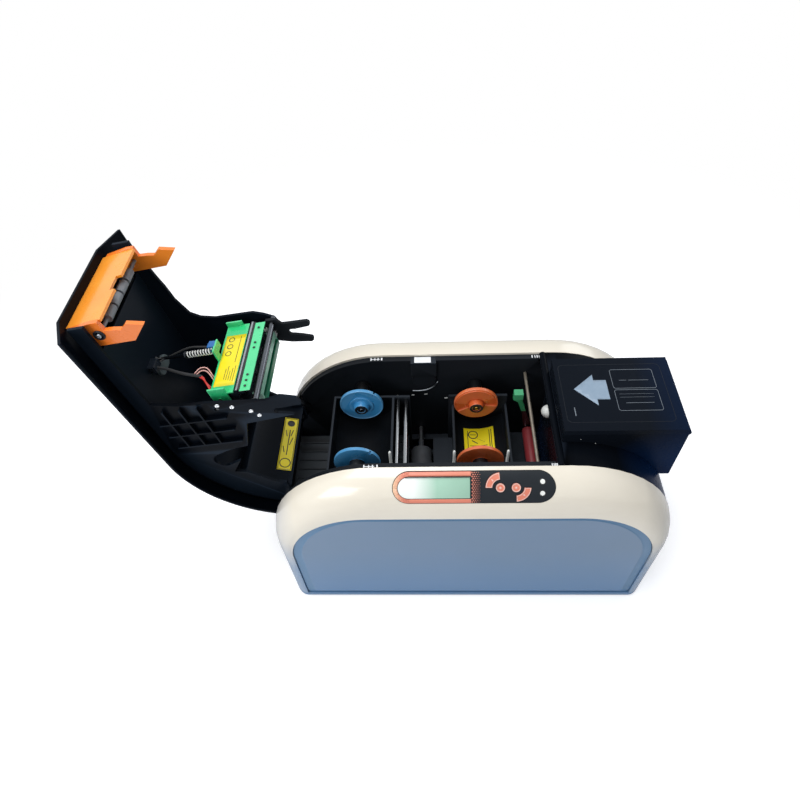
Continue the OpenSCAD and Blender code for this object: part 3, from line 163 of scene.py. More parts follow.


# Materials, each named for the real stuff and how its surface was made. Grain finer than half a
# millimetre would not show, so it is drawn that coarse.
# where a finish lightens its edges, that is partly wear and partly a painted highlight
finishes = {
    # polished moulded ABS: soft window glints on the long shells; painted shade greys its ends and rear band,
    # and painted shade with a blue reflection cools it toward the foot
    "creamGlossAbs": {
        "tone": "#EFE8D8", "shade": "#EAE2D1", "toneMm": 60, "rough": (0.17, 0.22), "coat": 0.2,
        "grain": 0.006, "grainMm": 1.4,
        # painted shade toward the right end, the left end and the rear band; painted shade and blue reflection
        # toward the foot, full on the strip below the panel
        "zones": [
            {"along": (1, 0, 0), "start": 160, "stop": 203, "tone": "#A5A39B", "most": 0.6},
            {"along": (-1, 0, 0), "start": 172, "stop": 203, "tone": "#B4BBC6", "most": 0.6},
            {"along": (0, 1, 0), "start": 72, "stop": 96, "tone": "#C9C6BA", "most": 0.6},
            {"along": (0, 0, 1), "start": 132, "stop": 70, "tone": "#5F88B0", "most": 0.85},
            {"along": (0, 0, 1), "start": 7.2, "stop": 6.2, "tone": "#5F86AC"},
        ],
    },
    # lacquered ABS insert: even blue-grey with a gentle sheen, and a painted blue reflection that deepens it
    # toward the bottom edge
    "slateLacquer": {
        "tone": "#6C86A4", "shade": "#69849F", "toneMm": 90, "rough": (0.3, 0.34), "coat": 0.12,
        "smudgeMm": 60, "grain": 0.003, "grainMm": 0.8,
        "zones": [
            {"along": (0, 0, 1), "start": 120, "stop": 8, "tone": "#5B86B2", "most": 0.8},
        ],
    },
    # the same lacquer on the insert's border, one tone darker as painted shade, so that the border reads as a
    # frame
    "slateEdgePaintedShade": {
        "tone": "#5780A4", "shade": "#537CA0", "toneMm": 60, "rough": (0.32, 0.38), "coat": 0.1,
        "smudgeMm": 60, "grain": 0.003, "grainMm": 0.8,
    },
    # spark-eroded black ABS: fine even grain that turns light grey along its lit edges, partly wear and partly
    # a painted highlight
    "blackTexturedAbs": {
        "tone": "#0A0C0F", "shade": "#101317", "toneMm": 26, "rough": (0.4, 0.54), "gloss": 0.08,
        "grain": 0.04, "grainMm": 0.6, "edgeWearAndHighlight": {"tone": "#3A4048", "most": 0.5},
    },
    # polished black ABS: darker and smoother, with a cold blue sheen painted into the blue of its second tone
    "blackGlossAbs": {
        "tone": "#090B0F", "shade": "#0D1218", "toneMm": 34, "rough": (0.2, 0.32), "gloss": 0.2,
        "grain": 0.01, "grainMm": 1.1, "edgeWearAndHighlight": {"tone": "#38424F", "most": 0.45},
    },
    # fine-textured black ABS of the cover: near black inside, soft streaks of light on the curve, and a painted
    # navy sheen in its drifting second tone
    "blackCoverAbs": {
        "tone": "#040609", "shade": "#060C15", "toneMm": 80, "rough": (0.32, 0.37), "gloss": 0.05,
        "smudgeMm": 50, "grain": 0.006, "grainMm": 1.2, "edgeWearAndHighlight": {"tone": "#2A3644", "most": 0.55},
    },
    # glass-filled moulded nylon: drier and greyer than the ABS, for the pan and the ramp
    "greyFilledNylon": {
        "tone": "#15181B", "shade": "#1D2125", "toneMm": 18, "rough": (0.5, 0.62), "gloss": 0.2,
        "grain": 0.03, "grainMm": 0.5, "edgeWearAndHighlight": {"tone": "#4A5158", "most": 0.4},
    },
    # black ABS of the feeder and right end: near black on top, with a painted navy reflection that grows toward
    # the lower right
    "feederGlossAbs": {
        "tone": "#020305", "shade": "#030509", "toneMm": 60, "rough": (0.24, 0.3), "gloss": 0.02,
        "grain": 0.008, "grainMm": 1.2, "edgeWearAndHighlight": {"tone": "#242B36", "most": 0.5},
        "zones": [
            # painted reflection: navy grows to the right and toward the bottom
            {"along": (1, 0, -1), "start": -80, "stop": 14, "tone": "#07254C", "most": 0.9},
        ],
    },
    # injection-moulded blue nylon: waxy shine, black beyond the flange where it meets its shaft; on the hub
    # behind the flange that black is painted shade
    "blueSpoolNylon": {
        "tone": "#3F90C6", "shade": "#3585BB", "toneMm": 14, "rough": (0.26, 0.36), "coat": 0.15,
        "grain": 0.012, "grainMm": 0.7, "edgeWearAndHighlight": {"tone": "#8CC6EA", "most": 0.5},
        "zones": [
            {"along": (0, 1, 0), "start": 39.15, "stop": 39.3, "tone": "#0A0B0D", "bothWays": True},
        ],
    },
    # injection-moulded orange nylon: the same waxy shine as the blue spools
    "orangeSpoolNylon": {
        "tone": "#DA6530", "shade": "#CE5A28", "toneMm": 14, "rough": (0.26, 0.36), "coat": 0.15,
        "grain": 0.012, "grainMm": 0.7, "edgeWearAndHighlight": {"tone": "#F5A070", "most": 0.5},
        "zones": [
            # black beyond the flange: on the hub behind the flange it is painted shade
            {"along": (0, 1, 0), "start": 39.15, "stop": 39.3, "tone": "#0A0B0D", "bothWays": True},
        ],
    },
    # moulded amber acetal: warm and slightly wet, its cheeks a deeper orange
    "amberAcetal": {
        "tone": "#FBA036", "shade": "#F3922A", "toneMm": 22, "rough": (0.2, 0.3), "coat": 0.3,
        "grain": 0.008, "grainMm": 0.9,
        "zones": [
            {"along": (0, 1, 0), "start": 43.4, "stop": 43.8, "tone": "#F37D28", "bothWays": True},
        ],
    },
    # powder-coated sheet steel: wet-looking green with a slight orange peel
    "greenPowderCoat": {
        "tone": "#2FCF82", "shade": "#26C277", "toneMm": 20, "rough": (0.22, 0.34), "coat": 0.3,
        "grain": 0.012, "grainMm": 1.6, "edgeWearAndHighlight": {"tone": "#8FF0C0", "most": 0.4},
        "zones": [
            {"along": (0, 1, 0), "start": 43.0, "stop": 43.2, "tone": "#0A0B0D", "bothWays": True},
        ],
    },
    # glass-filled nylon rails: deep green, and above 287 mm they are painted paler as a painted highlight,
    # where the front one catches the light
    "railNylon": {
        "tone": "#0F6A4A", "shade": "#0C5C40", "toneMm": 10, "rough": (0.28, 0.4), "coat": 0.15,
        "grain": 0.012, "grainMm": 0.6, "edgeWearAndHighlight": {"tone": "#4FBE92", "most": 0.4},
        "zones": [
            {"along": (0, 0, 1), "start": 286.8, "stop": 287.2, "tone": "#8DC3AB"},
        ],
    },
    # moulded green nylon of the lever, black below its grip
    "greenNylon": {
        "tone": "#1E9E62", "shade": "#188B55", "toneMm": 16, "rough": (0.26, 0.38), "coat": 0.15,
        "grain": 0.012, "grainMm": 0.7, "edgeWearAndHighlight": {"tone": "#7BD8A8", "most": 0.45},
        "zones": [
            {"along": (0, 0, 1), "start": 168.5, "stop": 167.5, "tone": "#0C0E10"},
        ],
    },
    # polished chromium on ground rods: near mirror, faint drawing lines along the rod
    "chromeRod": {
        "tone": "#A2A5A9", "shade": "#85898D", "toneMm": 7, "rough": (0.1, 0.2), "metal": 1.0,
        "stretch": (4, 0.1, 4), "grain": 0.004, "grainMm": 0.8,
    },
    # turned and brushed steel: duller than chromium, with fine lines round the work
    "brushedSteel": {
        "tone": "#A9AFB6", "shade": "#92989F", "toneMm": 7, "rough": (0.24, 0.38), "metal": 1.0,
        "stretch": (6, 0.4, 6), "grain": 0.01, "grainMm": 0.5,
    },
    # oil-blacked ground steel: dark grey with a bright line of light
    "darkSteelShaft": {
        "tone": "#5E6268", "shade": "#4B4F55", "toneMm": 8, "rough": (0.22, 0.34), "metal": 1.0,
        "stretch": (4, 0.2, 4), "grain": 0.006, "grainMm": 0.6,
    },
    # bare rolled steel strip gone brownish: half dull, half bright
    "tiePlate": {
        "tone": "#958D80", "shade": "#7C756A", "toneMm": 9, "rough": (0.3, 0.42), "metal": 0.5,
        "grain": 0.008, "grainMm": 0.6,
    },
    # cast rubber: dead matt with a soft edge light
    "blackRubber": {
        "tone": "#15171A", "shade": "#1D2024", "toneMm": 9, "rough": (0.7, 0.85), "sheen": 0.15,
        "grain": 0.05, "grainMm": 0.5,
    },
    # ground polyurethane on a steel shaft: even matt grey, bright metal at both ends
    "platenRubber": {
        "tone": "#3A3D42", "shade": "#45494E", "toneMm": 12, "rough": (0.6, 0.72), "grain": 0.03,
        "grainMm": 0.4,
        "zones": [
            {"along": (0, 1, 0), "start": 44.6, "stop": 44.9, "tone": "#B4B9BF", "bothWays": True,
             "metal": 1.0, "rough": 0.3},
        ],
    },
    # tacky silicone sleeve on a steel shaft: slightly wet brown-red
    "tackyBrownRubber": {
        "tone": "#90353A", "shade": "#7D2C31", "toneMm": 16, "rough": (0.28, 0.42), "coat": 0.2,
        "grain": 0.02, "grainMm": 0.7,
        "zones": [
            {"along": (0, 1, 0), "start": 36.05, "stop": 36.2, "tone": "#B9BDC2", "bothWays": True,
             "metal": 1.0, "rough": 0.3},
        ],
    },
    # ground silicone sleeves: mid grey and matt
    "paleSleeveRubber": {
        "tone": "#7B8086", "shade": "#696E75", "toneMm": 11, "rough": (0.42, 0.56), "grain": 0.03,
        "grainMm": 0.5,
    },
    # moulded foam rubber: dull grey-green with paler rims, partly wear and partly a painted highlight
    "padRubber": {
        "tone": "#4A5558", "shade": "#414C50", "toneMm": 8, "rough": (0.55, 0.7), "grain": 0.03,
        "grainMm": 0.4, "edgeWearAndHighlight": {"tone": "#77848A", "most": 0.5},
    },
    # screen-printed polyester film: even charcoal with a faint satin
    "charcoalPrint": {
        "tone": "#252A2F", "shade": "#20252A", "toneMm": 24, "rough": (0.34, 0.42), "gloss": 0.15,
        "grain": 0.01, "grainMm": 0.6,
    },
    # moulded silicone keys: soft salmon without glints
    "salmonKeycap": {
        "tone": "#E58A72", "shade": "#DD7E66", "toneMm": 7, "rough": (0.34, 0.46), "grain": 0.015,
        "grainMm": 0.5,
    },
    # printed rims of the keys: chalky pale pink
    "palePinkRim": {
        "tone": "#F3C9BC", "shade": "#EBBBAC", "toneMm": 6, "rough": (0.34, 0.46), "grain": 0.01,
        "grainMm": 0.5,
    },
    # screen-printed film: salmon that runs to pale apricot at the round end
    "salmonPrint": {
        "tone": "#E58A72", "shade": "#E0836A", "toneMm": 12, "rough": (0.32, 0.42), "coat": 0.15,
        "grain": 0.008, "grainMm": 0.6,
        "zones": [
            {"along": (1, 0, 0), "start": -64, "stop": -74, "tone": "#F8CFA8"},
        ],
    },
    # polariser film behind a clear window: pale mint that goes white at its left end
    "displayFilm": {
        "tone": "#A9D4BD", "shade": "#A3CEB7", "toneMm": 16, "rough": (0.08, 0.16), "coat": 0.7,
        "grain": 0.002, "grainMm": 0.6,
        "zones": [
            {"along": (1, 0, 0), "start": -30, "stop": -4, "tone": "#8CB8A0", "most": 0.7},
            {"along": (1, 0, 0), "start": -33, "stop": -54, "tone": "#F7FDF8"},
        ],
    },
    # frosted acrylic: milky white with a soft glint
    "frostedLampLens": {
        "tone": "#F6F8F4", "shade": "#EDF1EC", "toneMm": 3, "rough": (0.2, 0.3), "coat": 0.4,
        "grain": 0.008, "grainMm": 0.3,
    },
    # turned white acetal: clean white with a dry shine
    "whiteAcetal": {
        "tone": "#EDEFEC", "shade": "#E1E4E1", "toneMm": 8, "rough": (0.3, 0.42), "grain": 0.012,
        "grainMm": 0.5,
    },
    # moulded acetal gone grey with use
    "idlerAcetal": {
        "tone": "#C3C7C2", "shade": "#B3B8B4", "toneMm": 6, "rough": (0.34, 0.46), "grain": 0.012,
        "grainMm": 0.5,
    },
    # glass-epoxy board under green solder mask: glossy green with small gold pads
    "solderMaskBoard": {
        "tone": "#145A34", "shade": "#104B2C", "toneMm": 6, "rough": (0.3, 0.42), "coat": 0.3,
        "grain": 0.02, "grainMm": 0.7,
        "specks": {"mm": 3.1, "size": 0.16, "most": 0.9, "tone": "#C9B16A"},
    },
    # zinc-plated drawn steel: soft grey metal with lines down the can
    "zincMotorCan": {
        "tone": "#A7ABAD", "shade": "#95999C", "toneMm": 10, "rough": (0.28, 0.42), "metal": 1.0,
        "stretch": (1, 0.2, 1), "grain": 0.01, "grainMm": 0.5,
    },
    # moulded connector nylon: flat bright blue
    "blueConnectorNylon": {
        "tone": "#2C6FB4", "shade": "#2564A6", "toneMm": 5, "rough": (0.32, 0.44), "grain": 0.012,
        "grainMm": 0.4,
    },
    # printed vinyl label: flat strong yellow with a thin clear coat
    "yellowVinyl": {
        "tone": "#F3E022", "shade": "#EED814", "toneMm": 12, "rough": (0.28, 0.38), "coat": 0.2,
        "grain": 0.006, "grainMm": 0.8,
    },
    # black printing ink: matt and slightly uneven
    "blackInk": {
        "tone": "#1B1C1E", "shade": "#26282B", "toneMm": 4, "rough": (0.5, 0.6), "grain": 0.004,
        "grainMm": 0.4,
    },
    # pale blue pad print: thin and dusty on the black lid
    "paleBlueInk": {
        "tone": "#8CA0B3", "shade": "#8197AC", "toneMm": 6, "rough": (0.4, 0.5), "grain": 0.004,
        "grainMm": 0.4,
    },
    # grey pad print: thinner and dimmer than the arrow
    "greyInk": {
        "tone": "#79838D", "shade": "#6C7680", "toneMm": 6, "rough": (0.4, 0.5), "grain": 0.004,
        "grainMm": 0.4,
    },
    # painted highlight on the moulded step in the lid: a line only just paler than its ground
    "fieldLine": {
        "tone": "#23272D", "shade": "#1C2026", "toneMm": 12, "rough": (0.4, 0.5), "gloss": 0.1,
        "grain": 0.004, "grainMm": 0.5,
    },
    # turned brass: warm yellow glint in the bore
    "brassPin": {
        "tone": "#C99A4B", "shade": "#A87B35", "toneMm": 3, "rough": (0.24, 0.36), "metal": 1.0,
        "grain": 0.008, "grainMm": 0.3,
    },
    # extruded PVC sleeve: bright red, slightly dull
    "redWireSleeve": {
        "tone": "#C8302B", "shade": "#B72722", "toneMm": 3, "rough": (0.34, 0.46), "grain": 0.01,
        "grainMm": 0.4,
    },
    # extruded PVC sleeve: pale pink, slightly dull
    "pinkWireSleeve": {
        "tone": "#D9A8A0", "shade": "#CF9A92", "toneMm": 3, "rough": (0.34, 0.46), "grain": 0.01,
        "grainMm": 0.4,
    },
    # zinc-plated screw heads: bright blue-white glints
    "screwZinc": {
        "tone": "#E4E7EA", "shade": "#D3D7DB", "toneMm": 2, "rough": (0.2, 0.32), "metal": 1.0,
        "grain": 0.01, "grainMm": 0.3,
    },
    # clear moulded polycarbonate over white: bright and wet-looking
    "clearClip": {
        "tone": "#F4F6F8", "shade": "#E6EAEE", "toneMm": 5, "rough": (0.1, 0.2), "coat": 0.5,
        "grain": 0.006, "grainMm": 0.5,
    },
}
mats = {name: surface(name, s) for name, s in finishes.items()}
print("materials made:", len(mats))

# Each CAD node's finish, with the edge radius in millimetres that its moulding or press work has.
nodeFinish = {
    "base_pan": ("greyFilledNylon", 0.4), "rubber_feet": ("blackRubber", 0.5),
    "front_side_shell": ("creamGlossAbs", 0.7), "rear_side_shell": ("creamGlossAbs", 0.7),
    "front_side_panel": ("slateLacquer", 0.3), "rear_side_panel": ("slateLacquer", 0.3),
    "front_inner_frame": ("blackTexturedAbs", 0.35), "rear_inner_frame": ("blackTexturedAbs", 0.35),
    "ribbon_bay_tub": ("blackTexturedAbs", 0.3), "output_ramp": ("greyFilledNylon", 0.4),
    "left_end_cover": ("blackTexturedAbs", 0.4), "right_end_cover": ("feederGlossAbs", 0.4),
    "feeder_base": ("feederGlossAbs", 0.4), "feeder_box": ("feederGlossAbs", 0.5),
    "feeder_lid": ("feederGlossAbs", 0.8), "card_weight": ("greyFilledNylon", 0.4),
    "pick_roller": ("platenRubber", 0.25), "gate_knob": ("whiteAcetal", 0.4), "tie_rod": ("tiePlate", 0.3),
    "ribbon_guide_rods": ("chromeRod", 0.25), "locating_posts": ("whiteAcetal", 0.25),
    "cover_sensor": ("blackTexturedAbs", 0.3), "control_fascia": ("charcoalPrint", 0.1),
    "lcd_window": ("displayFilm", 0.1), "status_lamps": ("frostedLampLens", 0.2),
    "arc_key_back": ("salmonKeycap", 0.25), "round_key_left": ("salmonKeycap", 0.25),
    "round_key_right": ("salmonKeycap", 0.25), "arc_key_front": ("salmonKeycap", 0.25),
    "main_board": ("solderMaskBoard", 0.1), "drive_motor": ("zincMotorCan", 0.5),
    "motor_pinion": ("brushedSteel", 0.1), "platen_gear": ("whiteAcetal", 0.12),
    "platen_roller": ("platenRubber", 0.25), "cleaning_roller": ("tackyBrownRubber", 0.25),
    "roller_lift_lever": ("greenNylon", 0.35), "take_up_spindle_front": ("blueSpoolNylon", 0.35),
    "take_up_spindle_rear": ("blueSpoolNylon", 0.35), "supply_spindle_front": ("orangeSpoolNylon", 0.35),
    "supply_spindle_rear": ("orangeSpoolNylon", 0.35), "power_inlet": ("greyFilledNylon", 0.3),
    "power_switch": ("blackGlossAbs", 0.3), "data_socket": ("brushedSteel", 0.15),
    "cover_skin": ("blackCoverAbs", 0.6), "cover_front_wall": ("blackCoverAbs", 0.3),
    "cover_rear_wall": ("blackCoverAbs", 0.3), "cover_liner": ("blackCoverAbs", 0.3),
    "hinge_pins": ("brushedSteel", 0.2), "print_head_bracket": ("greenPowderCoat", 0.2),
    "print_head": ("blackGlossAbs", 0.25), "ribbon_rails": ("railNylon", 0.25),
    "guide_roller": ("darkSteelShaft", 0.2), "idler_gear": ("idlerAcetal", 0.15),
    "locating_fork": ("blackTexturedAbs", 0.25), "cleaning_cassette": ("amberAcetal", 0.4),
    "cassette_rollers": ("paleSleeveRubber", 0.25), "bumper_pad": ("padRubber", 0.8),
    "head_connector": ("blueConnectorNylon", 0.3),
    "cover_screws": ("screwZinc", 0.1), "head_spring": ("whiteAcetal", 0.1),
}


edgeFinish = {"weldMetres": 1e-5, "flatDegrees": 0.6, "sharpDegrees": 32, "segments": 2, "normalWeight": 80}


def roundEdges(obj, radius, s):
    # sharp edges get a small radius in millimetres, and the flats between them stay flat
    edge = obj.modifiers.new("edgeRadius", "BEVEL")
    edge.width = radius * metresPerMm
    edge.segments = s["segments"]
    edge.limit_method = "ANGLE"
    edge.angle_limit = math.radians(s["sharpDegrees"])
    obj.modifiers.new("evenNormals", "WEIGHTED_NORMAL").weight = s["normalWeight"]


def dress(obj, mat, radius, s):
    # doubled corners join, then coplanar facets, so that only true edges are rounded
    obj.data.materials.clear()
    obj.data.materials.append(mat)
    obj.modifiers.new("weld", "WELD").merge_threshold = s["weldMetres"]
    if obj != cadNodes["cover_skin"]:
        # the skin's swept facets stay apart: joined, they would streak its rolled shoulder
        flat = obj.modifiers.new("joinFlats", "DECIMATE")
        flat.decimate_type = "DISSOLVE"
        flat.angle_limit = math.radians(s["flatDegrees"])
    roundEdges(obj, radius, s)


for nodeName, obj in cadNodes.items():
    finish, radius = nodeFinish[nodeName]
    dress(obj, mats[finish], radius, edgeFinish)
print("nodes dressed:", len(cadNodes))


# Mesh tools: places and sizes are in millimetres, and addPiece turns them to metres.
def facing(origin, across, up):
    # columns: across, up and the outward direction of the face that is drawn on
    u, v = Vector(across).normalized(), Vector(up).normalized()
    m = Matrix((u, v, u.cross(v))).transposed().to_4x4()
    m.translation = Vector(origin)
    return m


alongY = facing((0, 0, 0), (0, 1, 0), (0, 0, 1))  # outlines in Y and Z, depth along X
straightUp = facing((0, 0, 0), (1, 0, 0), (0, 1, 0))


def joinRings(bm, rings, count):
    # faces between neighbouring rings; a ring of one point closes to a fan
    for a, b in zip(rings, rings[1:]):
        for i in range(count):
            j = (i + 1) % count
            corners = [a[i % len(a)], a[j % len(a)], b[j % len(b)], b[i % len(b)]]
            unique = list(dict.fromkeys(corners))
            if len(unique) > 2:
                bm.faces.new(unique)


def prism(bm, outline, low, high, place=straightUp):
    bottom, top = ([bm.verts.new(place @ Vector((u, v, w))) for u, v in outline] for w in (low, high))
    bm.faces.new(bottom[::-1])
    bm.faces.new(top)
    for i in range(len(outline)):
        j = (i + 1) % len(outline)
        bm.faces.new((bottom[i], bottom[j], top[j], top[i]))


def oblong(x0, x1, y0, y1):
    return [(x0, y0), (x1, y0), (x1, y1), (x0, y1)]


def roundel(x, y, r, count=28):
    turns = [i * math.tau / count for i in range(count)]
    return [(x + r * math.cos(a), y + r * math.sin(a)) for a in turns]


def band(x, y, outer, inner, count=28):
    return roundel(x, y, outer, count), roundel(x, y, inner, count)


def softBox(x0, x1, y0, y1, r, steps=4):
    # a rectangle with round corners
    corners = ((x1 - r, y1 - r, 0), (x0 + r, y1 - r, 90), (x0 + r, y0 + r, 180), (x1 - r, y0 + r, 270))
    points = []
    for cx, cy, start in corners:
        for i in range(steps + 1):
            a = math.radians(start + i * 90 / steps)
            points.append((cx + r * math.cos(a), cy + r * math.sin(a)))
    return points


def lathe(bm, profile, place=straightUp, count=36):
    # profile of (radius, height) from axis to axis
    rings = []
    for r, h in profile:
        turns = 1 if r < 1e-4 else count
        spots = roundel(0, 0, r, turns)
        rings.append([bm.verts.new(place @ Vector((x, y, h))) for x, y in spots])
    joinRings(bm, rings, count)


def tube(bm, points, radius, sides=8):
    # a sleeve along a smooth path, closed at both ends
    path = [Vector(p) for p in points]
    side = Vector((0.3, 0.5, 0.8))  # any start that no path here runs along
    rings = []
    for i, p in enumerate(path):
        ahead = (path[min(i + 1, len(path) - 1)] - path[max(i - 1, 0)]).normalized()
        side = (side - side.dot(ahead) * ahead).normalized()
        other = ahead.cross(side)
        rings.append([bm.verts.new(p + u * side + v * other) for u, v in roundel(0, 0, radius, sides)])
    joinRings(bm, rings, sides)
    bm.faces.new(rings[0][::-1])
    bm.faces.new(rings[-1])


def curveThrough(points, steps=8):
    # Catmull-Rom through the points
    p = [Vector(q) for q in points]
    p = [2 * p[0] - p[1]] + p + [2 * p[-1] - p[-2]]
    out = []
    for i in range(1, len(p) - 2):
        for k in range(steps):
            t = k / steps
            out.append(0.5 * (2 * p[i] + (p[i + 1] - p[i - 1]) * t
                              + (2 * p[i - 1] - 5 * p[i] + 4 * p[i + 1] - p[i + 2]) * t * t
                              + (3 * p[i] - p[i - 1] - 3 * p[i + 1] + p[i + 2]) * t ** 3))
    return out + [p[-2]]


def addPiece(name, bm, finish, body, radius=0.0, onCover=False):
    if onCover:
        bm.transform(swungBack)
    bm.transform(Matrix.Scale(metresPerMm, 4))
    bmesh.ops.recalc_face_normals(bm, faces=bm.faces[:])
    for face in bm.faces:
        face.smooth = True
    mesh = bpy.data.meshes.new(name)
    bm.to_mesh(mesh)
    bm.free()
    obj = bpy.data.objects.new(name, mesh)
    bpy.context.scene.collection.objects.link(obj)
    for one in ([finish] if isinstance(finish, str) else finish):
        mesh.materials.append(mats[one])
    if radius:
        roundEdges(obj, radius, edgeFinish)
    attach(obj, body)
    return obj


def treeOf(names):
    bm = bmesh.new()
    for one in names:
        bm.from_mesh(cadNodes[one].data)
    found = BVHTree.FromBMesh(bm)
    bm.free()
    return found


printReach = {"start": 7, "length": 16}  # how far out a print's rays start, and how far they look inward


def decal(name, shapes, place, onto, finish, body, lift=0.12, step=2.0, onCover=False, thick=0.09):
    # flat print or film laid down on the solids below it, along the outward direction of place;
    # a shape is an outline, or a pair of outlines with the same number of points for a band
    bm = bmesh.new()
    for shape in shapes:
        if isinstance(shape[0][0], (int, float)):
            bm.faces.new([bm.verts.new((u, v, 0)) for u, v in shape])
        else:
            outer, inner = ([bm.verts.new((u, v, 0)) for u, v in loop] for loop in shape)
            for i in range(len(outer)):
                j = (i + 1) % len(outer)
                bm.faces.new((outer[i], outer[j], inner[j], inner[i]))
    # cut to a grid of step millimetres, so that the film can follow a curved part
    for axis in (0, 1):
        values = [v.co[axis] for v in bm.verts]
        cut = math.ceil(min(values) / step) * step
        while cut < max(values):
            at, normal = Vector((0, 0, 0)), Vector((0, 0, 0))
            at[axis], normal[axis] = cut, 1.0
            bmesh.ops.bisect_plane(bm, geom=bm.verts[:] + bm.edges[:] + bm.faces[:], plane_co=at,
                                   plane_no=normal, dist=1e-4)
            cut += step
    if onCover:
        place = swungBack @ place
    below = treeOf(onto)
    outward = (place.to_3x3() @ Vector((0, 0, 1))).normalized()
    for v in bm.verts:
        flat = place @ v.co
        start = (flat + outward * printReach["start"]) * metresPerMm
        hit = below.ray_cast(start, -outward, printReach["length"] * metresPerMm)[0]
        v.co = (hit / metresPerMm if hit else flat) + outward * lift
    bmesh.ops.recalc_face_normals(bm, faces=bm.faces[:])
    if sum((f.normal * f.calc_area() for f in bm.faces), Vector()).dot(outward) < 0:
        bmesh.ops.reverse_faces(bm, faces=bm.faces[:])
    raised = bmesh.ops.extrude_face_region(bm, geom=bm.faces[:])
    for v in [g for g in raised["geom"] if isinstance(g, bmesh.types.BMVert)]:
        v.co += outward * thick
    return addPiece(name, bm, finish, body)


# control panel: salmon print round the display, a painted shadow line along its top, hatch, key rims and lamp
# collars
panel = {"middle": (0, -88.93, 216.98), "slope": (0, 1, 1), "ringHalf": 14.6, "displayHalf": 10.5,
         "roundEnd": -58.8, "closeEnd": -2.0, "turns": 24, "step": 1.5, "topShadowLine": (-62, -3.4, 9.3, 10.1)}
panelPlace = facing(panel["middle"], (1, 0, 0), panel["slope"])


def cShape(s):
    # the ring is open at the hatch: a row of small quads round its other three sides
    outer, inner = [(s["closeEnd"], s["ringHalf"])], [(s["closeEnd"], s["displayHalf"])]
    for i in range(s["turns"] + 1):
        a = math.radians(90 + i * 180 / s["turns"])
        outer.append((s["roundEnd"] + s["ringHalf"] * math.cos(a), s["ringHalf"] * math.sin(a)))
        inner.append((s["roundEnd"] + s["displayHalf"] * math.cos(a), s["displayHalf"] * math.sin(a)))
    outer.append((s["closeEnd"], -s["ringHalf"]))
    inner.append((s["closeEnd"], -s["displayHalf"]))
    return [outer[i:i + 2] + inner[i:i + 2][::-1] for i in range(len(outer) - 1)]


decal("displayRing", cShape(panel), panelPlace, ["control_fascia"], "salmonPrint", "housing",
      step=panel["step"])
# painted shadow: a dark strip along the top edge of the display
decal("displayTopShadow", [oblong(*panel["topShadowLine"])], panelPlace, ["lcd_window"], "blackInk", "housing",
      step=panel["step"])

hatch = {"rows": 8, "columns": 4, "left": -1.1, "across": 2.0, "down": 1.7, "half": 0.84, "fade": 0.15,
         "least": 0.2, "tall": 1.1, "step": 3}


def diamonds(s):
    # they shrink to the right, and every second row is set over by half a column
    shapes = []
    for row in range(-s["rows"], s["rows"] + 1):
        for column in range(s["columns"]):
            along = column + (row % 2) / 2
            half = s["half"] - s["fade"] * along
            if half > s["least"]:
                u, v, tall = s["left"] + s["across"] * along, s["down"] * row, half * s["tall"]
                shapes.append([(u - half, v), (u, v - tall), (u + half, v), (u, v + tall)])
    return shapes


decal("panelHatch", diamonds(hatch), panelPlace, ["control_fascia"], "salmonPrint", "housing",
      step=hatch["step"])

keys = {"left": 24.2, "right": 38.4, "arcRadii": (7.4, 13.4), "half": 43, "rim": 0.75, "inset": 0.12,
        "taper": 4.5, "arcSteps": 14, "tip": ((9.1, -6), (9.1, 6), (11.7, 0)), "roundRim": (4.0, 3.1),
        "dot": 1.1, "lift": 0.02, "step": 1.2}


def arcOutline(s, x, middle, inset):
    # an arc key is a sector round its round key, from half before to half after its middle
    inner, outer = s["arcRadii"][0] + inset, s["arcRadii"][1] - inset
    half = s["half"] - s["taper"] * inset
    count = s["arcSteps"]
    angles = [math.radians(middle - half + i * 2 * half / count) for i in range(count + 1)]
    return ([(x + outer * math.cos(a), outer * math.sin(a)) for a in angles]
            + [(x + inner * math.cos(a), inner * math.sin(a)) for a in reversed(angles)])


def keyPrint(part, node, body, shape):
    decal(node + part, [shape], panelPlace, [node], "palePinkRim", body, lift=keys["lift"], step=keys["step"])


for node, body, x, middle in (("arc_key_back", "key_arc_back", keys["left"], 136),
                              ("arc_key_front", "key_arc_front", keys["right"], -44)):
    edge = arcOutline(keys, x, middle, keys["inset"])
    keyPrint("_rim", node, body, (edge, arcOutline(keys, x, middle, keys["rim"] + keys["inset"])))
    turned = [(r, math.radians(middle + turn)) for r, turn in keys["tip"]]
    keyPrint("_mark", node, body, [(x + r * math.cos(a), r * math.sin(a)) for r, a in turned])
for node, body, x in (("round_key_left", "key_round_left", keys["left"]),
                      ("round_key_right", "key_round_right", keys["right"])):
    keyPrint("_rim", node, body, band(x, 0, *keys["roundRim"]))
    keyPrint("_dot", node, body, roundel(x, 0, keys["dot"], 16))

lampCollar = {"x": 62, "v": (-5.4, 5.4), "radii": (3.1, 2.45), "step": 1.2}
for i, v in enumerate(lampCollar["v"]):
    decal("lampCollar" + str(i), [band(lampCollar["x"], v, *lampCollar["radii"])], panelPlace,
          ["control_fascia"], "blackInk", "housing", step=lampCollar["step"])
print("control panel printed")

